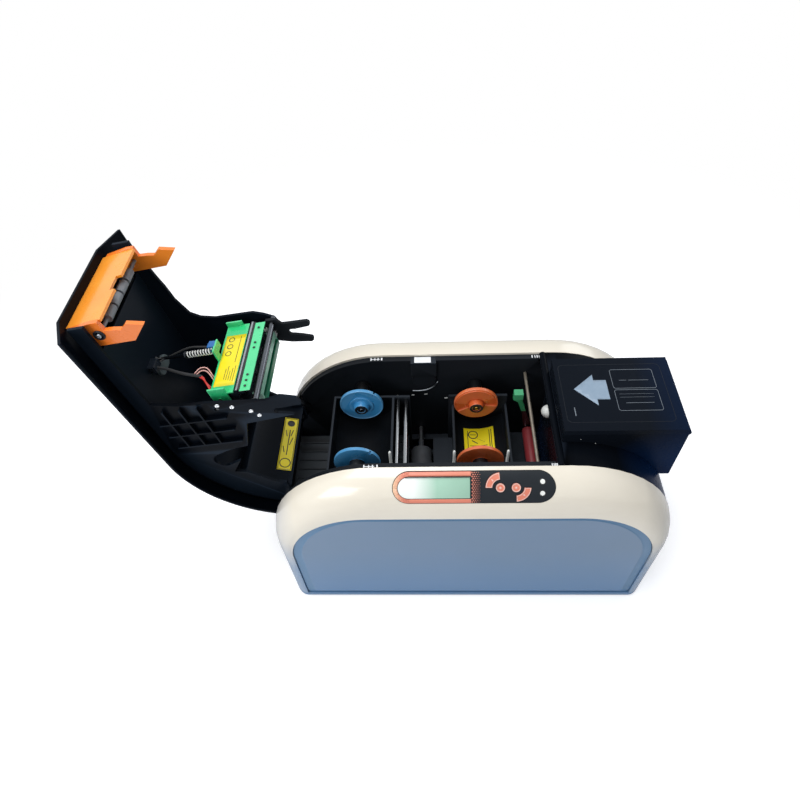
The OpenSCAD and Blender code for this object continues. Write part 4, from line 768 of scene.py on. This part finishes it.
# feeder lid: insertion arrow, two bare label frames and the line of its raised field, a painted highlight
lidPrint = {"height": 242, "thick": 0.06, "fieldThick": 0.05, "frameStep": 12,
            "arrow": [(100.2, 4.9), (120.4, -15.6), (120.4, -8.2), (132.4, -8.2), (132.4, 16.0),
                      (120.4, 16.0), (120.4, 23.2)], "arrowStep": 6,
            "frameEnds": (137.9, 178.9), "frames": ((5.1, 29.4), (-22.2, 3.5)), "line": (0.4, 0.42),
            "corners": (2.4, 2.0), "field": (88.5, 187.5, -35.5, 36.5), "fieldCorners": (5.0, 4.6),
            "rules": ((145, 152, 15.2, 15.6), (154, 173, 15.2, 15.6), (146, 172, -13.0, -12.6),
                      (142, 174, -2.0, -1.8), (142, 174, -6.0, -5.8), (96.8, 97.7, -27.5, -17.5))}
lidPlace = facing((0, 0, lidPrint["height"]), (1, 0, 0), (0, 1, 0))
decal("lidArrow", [lidPrint["arrow"]], lidPlace, ["feeder_lid"], "paleBlueInk", "lid", lift=0.0,
      step=lidPrint["arrowStep"], thick=lidPrint["thick"])


def frameBand(x0, x1, y0, y1, line, corners):
    return (softBox(x0, x1, y0, y1, corners[0]),
            softBox(x0 + line[0], x1 - line[0], y0 + line[1], y1 - line[1], corners[1]))


frames = [frameBand(*lidPrint["frameEnds"], y0, y1, lidPrint["line"], lidPrint["corners"])
          for y0, y1 in lidPrint["frames"]]
frames += [oblong(*rule) for rule in lidPrint["rules"]]
decal("lidFrames", frames, lidPlace, ["feeder_lid"], "greyInk", "lid", lift=0.0, step=lidPrint["frameStep"],
      thick=lidPrint["thick"])
field = frameBand(*lidPrint["field"], (lidPrint["line"][0], lidPrint["line"][0]), lidPrint["fieldCorners"])
decal("lidFieldHighlight", [field], lidPlace, ["feeder_lid"], "fieldLine", "lid", lift=0.0,
      step=lidPrint["frameStep"], thick=lidPrint["fieldThick"])

# small pale flecks on the feeder's front face: x, z and radius of each
flecks = {"front": -45, "sides": 12, "spots": ((107.9, 218.3, 0.9), (109.7, 222.0, 0.55), (113.7, 210.6, 1.0),
                                               (115.7, 221.7, 0.55), (104.1, 222.4, 0.4), (101.2, 228.1, 0.4))}
frontPlace = facing((0, flecks["front"], 0), (1, 0, 0), (0, 0, 1))
decal("feederFlecks", [roundel(x, z, r, flecks["sides"]) for x, z, r in flecks["spots"]], frontPlace,
      ["feeder_box"], "frostedLampLens", "housing", step=2)
print("feeder printed")

# yellow guide labels: plain circles, rules and a path line only, laid over the film
headText = [oblong(-27 + 0.8 * i, -8 - 3 * (i % 3), v, v + 0.45)
            for i, v in enumerate((-7.5, -5.3, -3.1, -0.9, 1.3))]
headRings = [band(x, 3.6, 3.0, 2.3, 20) for x in (8, 17, 26)]
labels = {
    "troughLabel": {"place": facing((15.2, 16, 141), (1, 0, 0), (0, 1, 0)), "onto": "ribbon_bay_tub",
                    "body": "housing", "onCover": False, "step": 2, "lift": 0.12, "inkLift": 0.22,
                    "sheet": oblong(-16.4, 16.4, -18.5, 18.3),
                    "marks": [band(-6.2, 9.8, 5.6, 4.5), oblong(11.2, 12.0, -14, 15),
                              oblong(13.2, 14.0, -14, 15), oblong(-12.6, -11.8, -14, 15),
                              [(-2.4, 5.6), (-1.6, 4.8), (6.6, -1.2), (5.8, -0.4)],
                              [(-8, 1.6), (-7.2, 2.4), (-1.2, -1.6), (-2, -2.4)],
                              [(2, -3.4), (2.8, -2.6), (8.2, 3.0), (7.4, 2.2)],
                              oblong(-9.4, -3.0, 9.4, 10.2), oblong(-10, 9, -5.6, -4.8)]},
    "endLabel": {"place": facing((-171, 0, 145), (0, 1, 0), (10, 0, 16)), "onto": "cover_liner",
                 "body": "cover", "onCover": True, "step": 4, "lift": 0.12, "inkLift": 0.22,
                 "sheet": oblong(-34, 34, -4.7, 10.2),
                 "marks": [band(-25, 2.7, 5.9, 4.9), roundel(26.6, 2.7, 4.0), oblong(-15, 18, 2.2, 3.2),
                           [(-12, 5.0), (-4, 7.0), (-4, 7.9), (-12, 5.9)],
                           [(-2, 0.8), (8, -1.8), (8, -0.9), (-2, 1.7)],
                           [(9, 4.6), (17, 6.6), (17, 7.5), (9, 5.5)],
                           [(10, 0.6), (18, -1.2), (18, -0.3), (10, 1.5)],
                           (oblong(-33.2, 33.2, -4.0, 9.5), oblong(-32.7, 32.7, -3.5, 9.0))]},
    "headLabel": {"place": facing((-30.4, -3, 150.4), (0, 1, 0), (0, 0, 1)), "onto": "print_head_bracket",
                  "body": "head", "onCover": True, "step": 8, "lift": 0.05, "inkLift": 0.14,
                  "sheet": oblong(-31.6, 31.6, -10.0, 9.8),
                  "marks": headText + headRings + [oblong(-4, 29, -5.6, -5.1)]},
}
for name, s in labels.items():
    where = (s["place"], [s["onto"]])
    decal(name, [s["sheet"]], *where, "yellowVinyl", s["body"], s["lift"], s["step"], s["onCover"])
    decal(name + "Marks", s["marks"], *where, "blackInk", s["body"], s["inkLift"], s["step"], s["onCover"])
print("labels laid")

# print head: second green strip on low bosses, its rivets, bright bar and black seal
headStrip = {"sheet": (-43.4, 41.6, 124.2, 134.0), "sheetDepth": (-31.0, -30.2), "bossDepth": (-30.3, -29.9),
             "rivetsAt": (-38, -31.5, -25, 8, 14.5, 34), "height": 129.2, "boss": 2.0,
             "rivet": [(0, -29.9), (1.15, -29.9), (1.15, -29.3), (0.7, -28.9), (0, -28.8)]}
bm = bmesh.new()
prism(bm, oblong(*headStrip["sheet"]), *headStrip["sheetDepth"], alongY)
for y in headStrip["rivetsAt"]:
    prism(bm, roundel(y, headStrip["height"], headStrip["boss"], 20), *headStrip["bossDepth"], alongY)
addPiece("headStrip", bm, "greenPowderCoat", "head", radius=0.15, onCover=True)
bm = bmesh.new()
for y in headStrip["rivetsAt"]:
    lathe(bm, headStrip["rivet"], facing((0, y, headStrip["height"]), (0, 1, 0), (0, 0, 1)), 18)
addPiece("stripRivets", bm, "blackInk", "head", onCover=True)

headBars = {"headBar": {"sheet": (-41.4, 43.6, 136.2, 138.0), "depth": (-31.2, -29.6), "edge": 0.3,
                        "finish": "brushedSteel"},
            "headSeal": {"sheet": (-41.2, 43.0, 133.7, 136.3), "depth": (-31.2, -29.9), "edge": 0.2,
                         "finish": "blackRubber"}}
for name, s in headBars.items():
    bm = bmesh.new()
    prism(bm, oblong(*s["sheet"]), *s["depth"], alongY)
    addPiece(name, bm, s["finish"], "head", radius=s["edge"], onCover=True)

# the spring is a real helix round its post, in place of the CAD model's wavy sleeve
spring = {"at": (-19.6, 0), "low": 163.2, "high": 189.0, "turns": 9.5, "coil": 2.5, "wire": 0.5,
          "stepsPerTurn": 20}
springPost = [(0, 168), (1.3, 168), (1.3, 189), (3.2, 189), (3.2, 190.4), (1.5, 191.2), (1.5, 216.6),
              (3.4, 218), (3.4, 218.6), (0, 218.6)]


def coilPath(s):
    points = []
    count = int(s["turns"] * s["stepsPerTurn"])
    rise = s["high"] - s["low"] - 2 * s["wire"]
    for i in range(count + 1):
        a = i / count * s["turns"] * math.tau
        points.append((s["at"][0] + s["coil"] * math.cos(a), s["at"][1] + s["coil"] * math.sin(a),
                       s["low"] + s["wire"] + rise * i / count))
    return points


bm = bmesh.new()
tube(bm, coilPath(spring), spring["wire"])
coil = addPiece("springCoil", bm, "whiteAcetal", "cover", onCover=True)
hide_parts("head_spring")
bm = bmesh.new()
lathe(bm, springPost, Matrix.Translation((*spring["at"], 0)), 24)
addPiece("springPost", bm, "blackGlossAbs", "cover", onCover=True)

# the plug stands on a shelf beside the spring; a black harness runs from it up to a low header
headPlug = {"block": (4.4, 12.2, 162.0, 169.0), "blockDepth": (-24.4, -18.0),
            "collar": (5.4, 11.2, 168.8, 170.6), "collarDepth": (-23.2, -19.2),
            "shelf": (3.2, 12.8, 160.6, 162.1), "shelfDepth": (-25.4, -17.4)}
bm = bmesh.new()
prism(bm, oblong(*headPlug["block"]), *headPlug["blockDepth"], alongY)
prism(bm, oblong(*headPlug["collar"]), *headPlug["collarDepth"], alongY)
addPiece("headPlug", bm, "blueConnectorNylon", "head", radius=0.4, onCover=True)
bm = bmesh.new()
prism(bm, oblong(*headPlug["shelf"]), *headPlug["shelfDepth"], alongY)
addPiece("plugShelf", bm, "greenPowderCoat", "head", radius=0.2, onCover=True)

ceilingHeader = {"block": (-20, -12, -18, -6), "height": (212.4, 219.4), "pins": 4, "pitch": 1.8,
                 "wide": 1.0, "firstPin": (-18.8, -18.8), "pinHeight": (213.4, 218.2)}
bm = bmesh.new()
prism(bm, oblong(*ceilingHeader["block"]), *ceilingHeader["height"])
for i in range(ceilingHeader["pins"]):
    x, y = ceilingHeader["firstPin"][0] + i * ceilingHeader["pitch"], ceilingHeader["firstPin"][1]
    pin = oblong(x, x + ceilingHeader["wide"], y, y + ceilingHeader["wide"])
    prism(bm, pin, *ceilingHeader["pinHeight"])
header = addPiece("ceilingHeader", bm, "blackGlossAbs", "cover", radius=0.4, onCover=True)
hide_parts("head_connector")

wireRuns = {
    "harnessPlug": {"finish": "blackRubber", "radius": 0.9,
                    "route": [(-21.2, 8.3, 170.2), (-21.0, 9.0, 176), (-20.6, 10.0, 190), (-21.6, 4, 207),
                              (-17.4, -7.5, 215)]},
    "harnessHead": {"finish": "blackRubber", "radius": 1.3,
                    "route": [(-25.6, -23.6, 171.4), (-25.0, -22.4, 177), (-23.4, -19, 190),
                              (-19.4, -15, 204), (-17.4, -13.5, 213)]},
    "wireRedA": {"finish": "redWireSleeve", "radius": 0.75,
                 "route": [(-37, -39, 160), (-31, -36.5, 162.4), (-28, -32, 165.4), (-26.6, -27, 169),
                           (-25.8, -24.2, 173)]},
    "wireRedB": {"finish": "redWireSleeve", "radius": 0.75,
                 "route": [(-37, -34, 160.4), (-31.4, -32.6, 163.6), (-28.6, -28.6, 167.6),
                           (-26.6, -24.6, 170), (-25.4, -23.2, 173.4)]},
    "wirePinkA": {"finish": "pinkWireSleeve", "radius": 0.55,
                  "route": [(-37, -27, 160.8), (-31, -23.5, 163), (-26.5, -18.2, 167.5),
                            (-24.4, -18.0, 172), (-24.8, -21.6, 176.5)]},
    "wirePinkB": {"finish": "pinkWireSleeve", "radius": 0.55,
                  "route": [(-37, -23, 161), (-30, -20, 163.6), (-25.4, -14.8, 168),
                            (-23.4, -15.6, 173.6), (-24.4, -20.6, 178.5)]},
}
for name, s in wireRuns.items():
    bm = bmesh.new()
    tube(bm, curveThrough(s["route"]), s["radius"], 10)
    addPiece(name, bm, s["finish"], "cover", onCover=True)
print("head group detailed")

# cassette: a black bush on each cheek, and a turned pin that goes round with the rollers
cassettePivot = {"x": 57.8, "z": 209.4, "cheek": 47.6,
                 "bush": [(0, -0.2), (4.7, -0.2), (4.7, 0.7), (4.2, 1.2), (3.1, 1.2), (2.7, 0.6), (0, 0.6)],
                 "pin": [(0, 0), (2.1, 0), (2.1, 1.7), (1.6, 2.1), (0.5, 2.1), (0, 1.8)]}
for side, name in ((-1, "front"), (1, "rear")):
    onCheek = facing((cassettePivot["x"], side * cassettePivot["cheek"], cassettePivot["z"]), (1, 0, 0),
                     (0, 0, -side))
    bm = bmesh.new()
    lathe(bm, cassettePivot["bush"], onCheek)
    addPiece(name + "CassetteBush", bm, "blackGlossAbs", "cover", onCover=True)
    bm = bmesh.new()
    lathe(bm, cassettePivot["pin"], onCheek, 30)
    addPiece(name + "CassettePin", bm, "brushedSteel", "cassette_roll", onCover=True)

# pan-head screws with a crossed recess, in place of the plain CAD studs
screwShape = {"rings": 9, "spokes": 48, "crown": 0.45, "slotShare": 0.12, "slotLeast": 0.12,
              "slotReach": 0.66, "slotDeep": 0.55, "seat": -0.1}
coverScrews = {"places": ((-33, 153.2), (-37, 141.2), (-45.2, 127), (-52, 122)), "wall": 54.0, "lean": 0.2,
               "radius": 2.2, "height": 1.25}


def screwHead(bm, place, radius, height, s):
    rows = []
    for k in range(s["rings"] + 1):
        r = radius * k / s["rings"]
        row = []
        for x, y in roundel(0, 0, r, 1 if k == 0 else s["spokes"]):
            top = height * (1 - s["crown"] * (r / radius) ** 2)
            slotHalf = s["slotShare"] * radius + s["slotLeast"]
            slot = min(abs(x), abs(y)) < slotHalf and r < s["slotReach"] * radius
            row.append(bm.verts.new(place @ Vector((x, y, top - (s["slotDeep"] if slot else 0)))))
        rows.append(row)
    foot = roundel(0, 0, radius, s["spokes"])
    rows.append([bm.verts.new(place @ Vector((x, y, s["seat"]))) for x, y in foot])
    joinRings(bm, rows, s["spokes"])
    bm.faces.new(rows[-1][::-1])


bm = bmesh.new()
for side in (-1, 1):
    lean = coverScrews["lean"] * side
    for x, z in coverScrews["places"]:
        up = (lean, 0, -1) if side > 0 else (0, 0, 1)
        place = facing((x, side * coverScrews["wall"], z), (1, 0, lean), up)
        screwHead(bm, place, coverScrews["radius"], coverScrews["height"], screwShape)
screws = addPiece("coverScrewHeads", bm, "screwZinc", "cover", onCover=True)
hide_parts("cover_screws")

# side panels: a bevelled border round a slightly raised face; steps are (inset, half width of the body)
arch = {"half": 184.5, "bottom": 6.2, "top": 182.0, "radius": 84.0, "foot": 5.0, "turns": 24, "footTurns": 5,
        "topShare": 0.45, "bottomShare": 0.55, "footShare": 0.4, "leastFoot": 0.6, "borderSteps": 5,
        "steps": [(0.0, 98.4), (0.3, 99.5), (1.0, 100.0), (8.2, 100.45), (9.0, 101.0), (9.8, 101.25),
                  (11.5, 101.3)]}


def archLoop(s, inset):
    # the border runs thin along the top and wide at both ends
    half, bottom = s["half"] - inset, s["bottom"] + inset * s["bottomShare"]
    foot = max(s["foot"] - inset * s["footShare"], s["leastFoot"])
    across, tall = s["radius"] - inset, s["radius"] - inset * s["topShare"]
    points = []
    for i in range(s["turns"] + 1):
        a = math.radians(i * 90 / s["turns"])
        points.append((half - across + across * math.cos(a), s["top"] - s["radius"] + tall * math.sin(a)))
    points += [(-x, z) for x, z in reversed(points)]
    turns = range(s["footTurns"] + 1)
    for side, order in ((-1, turns), (1, reversed(turns))):
        for i in order:
            a = math.radians(i * 90 / s["footTurns"])
            points.append((side * (half - foot + foot * math.cos(a)), bottom + foot - foot * math.sin(a)))
    return points


for side, name, node in ((-1, "frontPanel", "front_side_panel"), (1, "rearPanel", "rear_side_panel")):
    bm = bmesh.new()
    loops = []
    for inset, depth in arch["steps"]:
        loops.append([bm.verts.new((x, side * depth, z)) for x, z in archLoop(arch, inset)])
    for k, (a, b) in enumerate(zip(loops, loops[1:])):
        for i in range(len(a)):
            j = (i + 1) % len(a)
            face = bm.faces.new((a[i], a[j], b[j], b[i]))
            # the border steps take the darker lacquer, a painted shade
            face.material_index = 1 if k < arch["borderSteps"] else 0
    bm.faces.new(loops[-1])
    back = bm.faces.new(loops[0][::-1])
    back.material_index = 1
    shell = addPiece(name, bm, ["slateLacquer", "slateEdgePaintedShade"], "housing")
    shell.modifiers.new("evenNormals", "WEIGHTED_NORMAL").weight = edgeFinish["normalWeight"]
    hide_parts(node)
print("side panels made")

# clear clips in the rims that the closed cover rests on: x, y, length and width of each
rimClips = {"at": ((-94, -68.0, 14, 3.6), (75, -68.2, 5, 3.4), (-94.6, 68.0, 13, 4.4),
                   (74.2, 67.8, 9, 4.4)),
            "foot": 221.9, "strip": (-0.6, 0.2), "stripTop": 222.38, "toothTop": 222.42,
            "teeth": ((-0.46, 1.2), (-0.14, 0.9), (0.12, 1.1), (0.42, 1.5))}
bm = bmesh.new()
for x, y, length, width in rimClips["at"]:
    strip = oblong(x - length / 2, x + length / 2, y + rimClips["strip"][0], y + rimClips["strip"][1])
    prism(bm, strip, rimClips["foot"], rimClips["stripTop"])
    for share, wide in rimClips["teeth"]:
        middle = x + share * length
        # each tooth is a skewed block, as torn-off moulding tags are
        tooth = [(middle - wide * 0.5, y - width * 0.5), (middle + wide * 0.5, y - width * 0.42),
                 (middle + wide * 0.4, y + width * 0.5), (middle - wide * 0.6, y + width * 0.4)]
        prism(bm, tooth, rimClips["foot"], rimClips["toothTop"])
addPiece("rimClips", bm, "clearClip", "housing", radius=0.1)

# latch in the rear rim: black block, clear plate with two windows
latch = {"block": (-58.4, -31.4, 60.6, 70.4), "blockHeight": (220.0, 222.44),
         "plate": (-54.4, -36.8, 61.6, 69.8), "plateHeight": (222.0, 222.5),
         "windows": ((-51.5, -48.5, 63.4, 67.8), (-42.5, -39.5, 63.4, 67.8)), "windowHeight": (222.4, 222.56)}
bm = bmesh.new()
prism(bm, oblong(*latch["block"]), *latch["blockHeight"])
addPiece("latchBlock", bm, "blackGlossAbs", "housing", radius=0.4)
bm = bmesh.new()
prism(bm, oblong(*latch["plate"]), *latch["plateHeight"])
for window in latch["windows"]:
    prism(bm, oblong(*window), *latch["windowHeight"])
addPiece("latchPlate", bm, "clearClip", "housing", radius=0.12)

# below the latch: a bent wire catch, and nibs on the rear frame
catchArm = {"radius": 0.9, "route": [(-58, 63.6, 174.6), (-50, 63.4, 174.8), (-41, 63.4, 177),
                                     (-34, 63.4, 182), (-29.6, 63.6, 189.4)]}
bm = bmesh.new()
tube(bm, curveThrough(catchArm["route"], 6), catchArm["radius"], 10)
addPiece("catchArm", bm, "brushedSteel", "housing")
frameNibs = {"at": ((-75.5, 165.4), (-57.5, 166.2), (-42.8, 167.4), (-20.2, 160.0)), "depth": (-64.8, -63.9),
             "outline": ((-1.7, -0.6), (1.7, -0.2), (1.7, 0.6), (-1.7, 0.3))}
towardFront = facing((0, 0, 0), (1, 0, 0), (0, 0, 1))
bm = bmesh.new()
for x, z in frameNibs["at"]:
    prism(bm, [(x + u, z + v) for u, v in frameNibs["outline"]], *frameNibs["depth"], towardFront)
addPiece("frameNibs", bm, "whiteAcetal", "housing", radius=0.15)

# the lever's wire pin, and stepped guide posts in place of the plain CAD ones
leverPin = {"radius": 0.9, "route": [(64.4, 39.4, 169), (65.6, 39.0, 158), (67.2, 37.6, 147),
                                     (68.4, 36.6, 139)]}
bm = bmesh.new()
tube(bm, leverPin["route"], leverPin["radius"], 12)
addPiece("leverPin", bm, "brushedSteel", "lever")
guidePosts = {"x": (-77.4, -15.8, 35.4), "y": -47.8,
              "profile": [(0, 184), (2.4, 184), (2.4, 192.4), (1.5, 193.4), (1.35, 215), (0.8, 216.6),
                          (0, 216.9)]}
bm = bmesh.new()
for x in guidePosts["x"]:
    lathe(bm, guidePosts["profile"], Matrix.Translation((x, guidePosts["y"], 0)), 24)
posts = addPiece("guidePosts", bm, "whiteAcetal", "housing")
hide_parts("locating_posts")

# spools: a dark insert in each hub as painted shade, so that the bore reads deep, a pin, and two ribs on the
# flange
spools = {
    "takeUpRear": {"body": "take_up_rear", "node": "take_up_spindle_rear", "finish": "blueSpoolNylon",
                   "side": 1, "pin": "darkSteelShaft"},
    "takeUpFront": {"body": "take_up_front", "node": "take_up_spindle_front", "finish": "blueSpoolNylon",
                    "side": -1, "pin": "darkSteelShaft"},
    "supplyRear": {"body": "supply_rear", "node": "supply_spindle_rear", "finish": "orangeSpoolNylon",
                   "side": 1, "pin": "brassPin"},
    "supplyFront": {"body": "supply_front", "node": "supply_spindle_front", "finish": "orangeSpoolNylon",
                    "side": -1, "pin": "brassPin"},
}
spoolDetail = {"bore": [(0, -2.2), (3.9, -2.2), (4.6, 0.25), (6.6, 0.3), (7.1, 0.0), (6.9, -0.4), (0, -0.5)],
               "pin": [(0, -1.2), (2.3, -1.2), (2.3, 0.2), (1.7, 0.7), (0, 0.8)],
               "rib": [(0, -0.3), (0.9, -0.3), (0.8, 0.5), (0.45, 0.65), (0.1, 0.5), (0, -0.3)],
               "ribRadii": (11.4, 22.4), "flange": 36.0}
for name, s in spools.items():
    low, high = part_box(s["node"])
    x, z = [(low[axis] + high[axis]) / 2 / metresPerMm for axis in (0, 2)]
    hubEnd = (low[1] if s["side"] > 0 else high[1]) / metresPerMm
    onHub = facing((x, hubEnd, z), (1, 0, 0), (0, 0, s["side"]))
    bm = bmesh.new()
    lathe(bm, spoolDetail["bore"], onHub, 40)
    addPiece(name + "PaintedBoreShade", bm, "blackGlossAbs", s["body"])
    bm = bmesh.new()
    lathe(bm, spoolDetail["pin"], onHub, 24)
    addPiece(name + "Pin", bm, s["pin"], s["body"])
    onFlange = facing((x, s["side"] * spoolDetail["flange"], z), (1, 0, 0), (0, 0, s["side"]))
    bm = bmesh.new()
    for radius in spoolDetail["ribRadii"]:
        lathe(bm, [(radius + r, h) for r, h in spoolDetail["rib"]], onFlange, 64)
    addPiece(name + "Ribs", bm, s["finish"], s["body"])

# underside: bare rating plate and case screws
barePlate = {"outline": [(-60, -18), (-58, -20), (-2, -20), (0, -18), (0, 18), (-2, 20), (-58, 20),
                         (-60, 18)],
             "height": (-0.25, 0.05)}
bm = bmesh.new()
prism(bm, barePlate["outline"], *barePlate["height"])
addPiece("barePlate", bm, "brushedSteel", "housing", radius=0.05)
caseScrews = {"x": (-150, 0, 150), "y": (-62, 62), "height": 0.85, "radius": 3.0, "crown": 0.8}
bm = bmesh.new()
for x in caseScrews["x"]:
    for y in caseScrews["y"]:
        underneath = facing((x, y, caseScrews["height"]), (1, 0, 0), (0, -1, 0))
        screwHead(bm, underneath, caseScrews["radius"], caseScrews["crown"], screwShape)
addPiece("caseScrews", bm, "screwZinc", "housing")
print("small pieces made")

# camera, solved from the photograph: place and directions in the frame, focal length in its pixels
photoCamera = {"place": (-0.037008, -0.380008, 0.698232), "forward": (-0.05094, 0.63408, -0.77159),
               "right": (0.99858, 0.02023, -0.04930), "focalPixels": 612.017, "pixels": 800,
               "sensorMm": 36.0, "clipStart": 0.01}


def makeCamera(s):
    data = bpy.data.cameras.new("photoCamera")
    data.sensor_width = s["sensorMm"]
    data.lens = s["focalPixels"] * s["sensorMm"] / s["pixels"]
    data.clip_start = s["clipStart"]
    cam = bpy.data.objects.new("photoCamera", data)
    bpy.context.scene.collection.objects.link(cam)
    forward = Vector(s["forward"]).normalized()
    right = Vector(s["right"])
    right = (right - right.dot(forward) * forward).normalized()
    placed = Matrix((right, right.cross(forward), -forward)).transposed().to_4x4()
    placed.translation = Vector(s["place"])
    cam.matrix_world = placed
    bpy.context.scene.camera = cam


makeCamera(photoCamera)


def makeLamp(name, s):
    data = bpy.data.lights.new(name, "AREA")
    data.shape = "RECTANGLE"
    data.size, data.size_y = s["size"]
    data.energy = s["watts"]
    lamp = bpy.data.objects.new(name, data)
    bpy.context.scene.collection.objects.link(lamp)
    lamp.location = s["place"]
    lamp.rotation_euler = (Vector(s["aim"]) - Vector(s["place"])).to_track_quat("-Z", "Y").to_euler()


lamps = {
    "softboxAbove": {"place": (-0.35, 0.1, 1.5), "aim": (-0.05, 0, 0.15), "size": (1.0, 0.8), "watts": 13},
    "softboxFront": {"place": (-0.9, -1.1, 0.8), "aim": (0, 0, 0.12), "size": (0.8, 0.6), "watts": 8},
    "softboxRear": {"place": (1.0, 1.2, 0.9), "aim": (0, 0, 0.15), "size": (0.7, 0.7), "watts": 4},
}
for name, s in lamps.items():
    makeLamp(name, s)
print("camera and lamps placed")

# The world is white to the camera and in reflections, and a plain pale grey to everything it lights.
studio = {"dome": "#F1F4FA", "domeStrength": 0.42, "white": "#FFFFFF"}


def makeWorld(s):
    world = bpy.data.worlds.new("studio")
    bpy.context.scene.world = world
    world.use_nodes = True
    tree = world.node_tree
    tree.nodes.clear()
    path = add(tree, "ShaderNodeLightPath")
    seen = path.outputs["Is Camera Ray"]
    for ray in ("Is Glossy Ray", "Is Transmission Ray"):
        both = add(tree, "ShaderNodeMath", {"operation": "MAXIMUM"}, {0: seen, 1: path.outputs[ray]})
        seen = both.outputs[0]
    dome = add(tree, "ShaderNodeBackground", {"Color": rgb(s["dome"]), "Strength": s["domeStrength"]})
    white = add(tree, "ShaderNodeBackground", {"Color": rgb(s["white"]), "Strength": 1.0})
    mix = add(tree, "ShaderNodeMixShader", None, {0: seen, 1: dome.outputs[0], 2: white.outputs[0]})
    add(tree, "ShaderNodeOutputWorld", None, {"Surface": mix.outputs[0]})


makeWorld(studio)

# floor of matt paper: lit by the lamps, with a glow that lifts it to white; lengths in metres
paper = {"half": 4.0, "below": 0.0001, "tones": ("#F2F3F5", "#EDEEF1"), "fibresPerMetre": 300.0, "glow": 0.5,
         "shadowReach": 0.42, "allWhite": 0.95}


def makeFloor(z, s):
    # it reads white in the lens, and its own diffuse share carries the soft shadow
    bm = bmesh.new()
    bmesh.ops.create_grid(bm, x_segments=8, y_segments=8, size=s["half"])
    bmesh.ops.translate(bm, verts=bm.verts, vec=(0, 0, z))
    mesh = bpy.data.meshes.new("paperFloor")
    bm.to_mesh(mesh)
    bm.free()
    floor = bpy.data.objects.new("paperFloor", mesh)
    bpy.context.scene.collection.objects.link(floor)
    mat = bpy.data.materials.new("mattWhitePaper")
    mat.use_nodes = True
    tree = mat.node_tree
    tree.nodes.clear()
    seen = add(tree, "ShaderNodeLightPath").outputs["Is Camera Ray"]
    place = add(tree, "ShaderNodeTexCoord").outputs["Object"]
    fibre = add(tree, "ShaderNodeTexNoise", {"Scale": s["fibresPerMetre"], "Detail": 2.0}, {"Vector": place})
    tone = add(tree, "ShaderNodeMix", {"data_type": "RGBA", 6: rgb(s["tones"][0]), 7: rgb(s["tones"][1])},
               {0: fibre.outputs["Fac"]}).outputs[2]
    matt = add(tree, "ShaderNodeBsdfDiffuse", None, {"Color": tone})
    glow = add(tree, "ShaderNodeEmission", {"Strength": s["glow"]})
    lit = add(tree, "ShaderNodeAddShader", None, {0: matt.outputs[0], 1: glow.outputs[0]})
    # away from the object's shadow the paper runs out into the plain white backdrop
    reach = add(tree, "ShaderNodeVectorMath", {"operation": "LENGTH"}, {0: place}).outputs["Value"]
    away = add(tree, "ShaderNodeMapRange", {"interpolation_type": "SMOOTHSTEP", "From Min": s["shadowReach"],
                                            "From Max": s["allWhite"]}, {"Value": reach}).outputs[0]
    backdrop = add(tree, "ShaderNodeEmission", {"Strength": 1.0})
    spread = add(tree, "ShaderNodeMixShader", None, {0: away, 1: lit.outputs[0], 2: backdrop.outputs[0]})
    mix = add(tree, "ShaderNodeMixShader", None, {0: seen, 1: matt.outputs[0], 2: spread.outputs[0]})
    add(tree, "ShaderNodeOutputMaterial", None, {"Surface": mix.outputs[0]})
    mesh.materials.append(mat)


makeFloor(cadBounds[0][2] - paper["below"], paper)
bpy.context.scene.view_settings.view_transform = "Standard"
print("scene complete")
